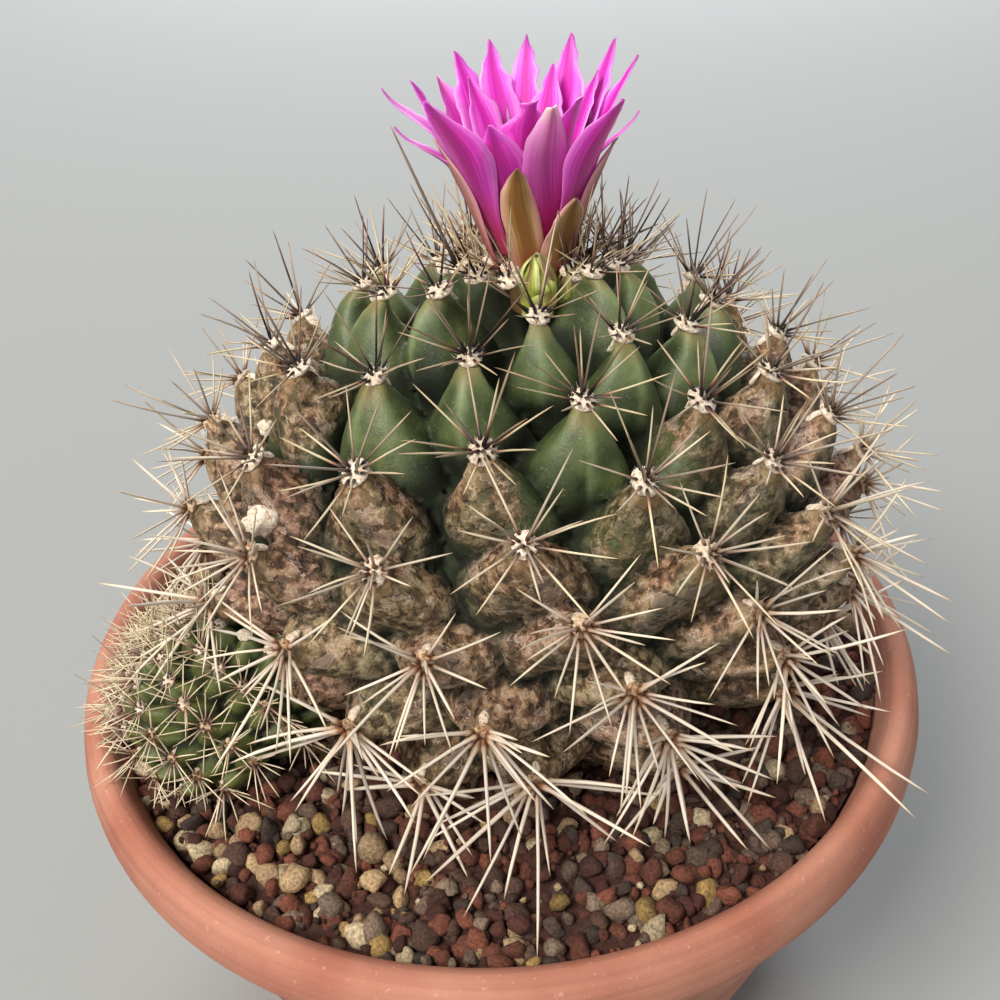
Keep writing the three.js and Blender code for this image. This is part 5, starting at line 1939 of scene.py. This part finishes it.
@dataclass(frozen=True)
class Flower:
    """The open funnel flower: petals, outer tepals on their tube, stamens and style."""

    petals: Blades = Blades(
        kind=BladeKind.PETAL, singles=(*INNER_PETALS, *FRONT_PETALS),
        rings=(BladeRing(5, 5.6, 20.0, 25.0, 8.6, 1.6, THROAT, 0.3, 0.2, 0.7 * math.pi),), thickness=0.3,
        seed=22, widths=PETAL_WIDTHS, ragged=0.5,
    )
    tepals: Blades = Blades(
        kind=BladeKind.TEPAL, singles=OUTER_TEPALS,
        rings=(BladeRing(4, 5.8, 13.0, 17.0, 6.0, 0.6, TEPAL_FOOT, 0.0, 0.16, 0.9 * math.pi),),
        thickness=0.5, seed=21, widths=TEPAL_WIDTHS, cup=0.3, flare=0.36,
    )
    stamen_count: int = 110

    def tube(self) -> Shape:
        """The short tube that the blades stand on."""
        tube = primitive(
            "cylinder", vertices=32, radius=TUBE_RADIUS - 0.2, depth=TUBE_HEIGHT + 4,
            location=(0, 0, TUBE_HEIGHT / 2 - 2),
        )
        apply_modifier(tube, "BEVEL", width=1.2, segments=3)
        return Shape.taken_from(tube)

    def stamens(self) -> list[Shape]:
        """The stamens and the style with its lobes, led by the point number part."""
        rng = np.random.default_rng(5)
        thread = Shape.taken_from(
            primitive("cylinder", vertices=4, radius=0.11, depth=1.0, location=(0, 0, 0.5))
        )
        sacs = Shape.taken_from(primitive("ico_sphere", subdivisions=1, radius=0.45))
        shapes = []
        floor = TUBE_HEIGHT + STAMEN_RISE
        for k in range(self.stamen_count):
            angle = k * GOLDEN_ANGLE
            spread = math.sqrt((k + 0.5) / self.stamen_count)
            lean = 0.42 * spread
            direction = Vector((math.cos(angle) * lean, math.sin(angle) * lean, 1)).normalized()
            length = rng.uniform(9, 11.5) * (1.12 - 0.3 * spread)
            root = toward(angle) * (0.8 + 2.1 * spread) + UP * floor
            thread_part, sacs_part = 0.2 + 0.2 * rng.random(), 0.75 + 0.2 * rng.random()
            shapes.append(thread.placed(root, rows_along(direction, 1, length), part=thread_part))
            end = root + direction * length
            shapes.append(sacs.placed(end, rows_along(direction, 0.85, 1.3), part=sacs_part))
        shapes.append(thread.placed(UP * floor, np.diag([7.0, 7.0, STYLE_HEIGHT]), part=0.45))
        for k in range(STIGMA_LOBES):
            direction = toward(k * math.tau / STIGMA_LOBES, 0.9).normalized()
            top = UP * (floor + STYLE_HEIGHT - 0.4)
            shapes.append(thread.placed(top, rows_along(direction, 3.0, 2.6), part=0.55))
        return shapes

    def build(self) -> None:
        """Makes the flower's pieces."""
        tube = self.tube()
        tube = tube.moved(tube.points, across=0.5, along=0.6, inner=0.0, tone=0.5, pale=0.0)
        pieces = (
            ("petals", self.petals.build(), BladeFinish(BladeKind.PETAL), "petals", "bloom_petals"),
            (
                "outer_tepals", [*self.tepals.build(), tube], BladeFinish(BladeKind.TEPAL), "flower_tube",
                "bloom_tube",
            ),
            ("stamens_and_style", self.stamens(), PollenFinish(), "stamens", "bloom_stamens"),
        )
        for name, shapes, finish, slot, replaced in pieces:
            whole = joined(shapes)
            whole.points = in_flower(whole.points)
            fitted(made_object(name, whole, finish.build()), slot, replaced)


@dataclass(frozen=True)
class Bud:
    """Closed buds with overlapping scales: a plump one and a smaller, browner one behind it."""

    scales: Blades = Blades(
        kind=BladeKind.SCALE,
        rings=(
            BladeRing(5, 2.9, 3.2, 5.6, 5.7, 0.55, 0.2), BladeRing(5, 3.4, 2.1, 7.4, 5.8, 0.05, 2.2),
            BladeRing(4, 3.4, 0.6, 7.4, 5.7, 0.62, 4.9),
        ),
        thickness=0.5, seed=31, widths=TEPAL_WIDTHS, cup=0.55, flare=-0.35,
    )
    second_place: Vector = Vector((17.6, 8.2, 161.0))
    second_size: float = 0.75

    def body(self) -> Shape:
        """The bud's own body, an egg on a short foot."""
        shape = Shape.taken_from(primitive("uv_sphere", segments=24, ring_count=16, radius=1.0))
        x, y, z = shape.points.T
        swell = (1 - 0.28 * z) * BUD_RADIUS * 0.86
        points = np.stack([x * swell, y * swell, 5.6 + z * (BUD_HEIGHT / 2 - 0.6)], axis=1)
        return shape.moved(points, across=0.6, along=0.5, inner=0.0, tone=0.2, pale=0.0)

    def build(self) -> None:
        """Makes the bud."""
        bud = joined([*self.scales.build(), self.body()])
        second = bud.moved(bud.points * self.second_size + np.array(self.second_place))
        second.values["across"] = second.values["across"] * 0.4
        bud = joined([bud.moved(bud.points + np.array(BUD_BASE)), second])
        fitted(made_object("flower_bud", bud, BladeFinish(BladeKind.SCALE).build()), "bud_scales", "bud")


# The object


def crown_areoles() -> list[Areole]:
    """The youngest areoles, crowded round the flower's foot, which carry only wool and dark spines."""
    found = []
    for radius, count in ((7.0, 7), (12.0, 11)):
        for k in range(count):
            azimuth = (k + 0.5 * (count % 2)) * math.tau / count
            side = toward(azimuth)
            away = Vector((side.y, -side.x, 0))
            out = (away * (0.02 * radius) + UP).normalized()
            found.append(
                Areole(
                    point=STEM.turn() @ (away * radius + UP * (80.0 - 0.1 * radius)) + STEM.centre, out=out,
                    side=side, up=out.cross(side), age=0.0, rib_spacing=5.0, level_spacing=5.0,
                ),
            )
    return [a for a in found if not inside_flower(a.point) and not inside_bud(a.point)]


def main() -> None:
    """Builds the whole object on its frame."""
    logging.basicConfig(level=logging.INFO, format="%(name)s: %(message)s")
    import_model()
    Stage().build()
    pot = Pot()
    pot.build()
    Grit().build(pot)
    floor_cut = partial(kept_above, height=PLANT_FLOOR - 3)
    offset_cut = partial(kept_out_of_ball, centre=OFFSET.centre, radius=OFFSET_RADIUS + SKIN_GAP)
    stem_tree = Skin("stem_skin", STEM, SkinKind.STEM, voxel=0.85).build([offset_cut, floor_cut])
    offset_tree = Skin(
        "offset_skin", OFFSET, SkinKind.OFFSET, voxel=0.5, sag=0.0, crease=1.1, carving=0.5, lump=0.3,
        wrinkle=0.1,
    ).build([floor_cut])
    keep_out = (inside_flower, inside_bud, inside_rim, inside_grit, inside_offset, outside_room)
    stem_areoles = [a for a in STEM.areoles() if not inside_flower(a.point) and not inside_offset(a.point)]
    crown = crown_areoles()
    Spines(
        "stem_spines", "stem_skin", STEM_SPINES, 1.75, 1.0, 7, keep_out, singles=(LONG_SPINE,)
    ).build(stem_areoles + crown)
    stem_wool = Wool("stem_wool", "stem_skin", STEM, 2.3, 1.0, 5.5, 56, 1.2, 12, STEM_LUMPS)
    stem_wool.build(stem_areoles + crown, stem_tree)
    offset_areoles = OFFSET.areoles()
    offset_out = (inside_rim, inside_grit, inside_stem)
    Spines(
        "offset_spines", "offset_skin", OFFSET_SPINES, 1.0, 0.6, 8, offset_out, sides=5
    ).build(offset_areoles)
    offset_wool = Wool("offset_wool", "offset_skin", OFFSET, 1.3, 0.7, 1.2, 22, 0.8, 13)
    offset_wool.build(offset_areoles, offset_tree)
    Flower().build()
    Bud().build()


if __name__ == "__main__":
    main()
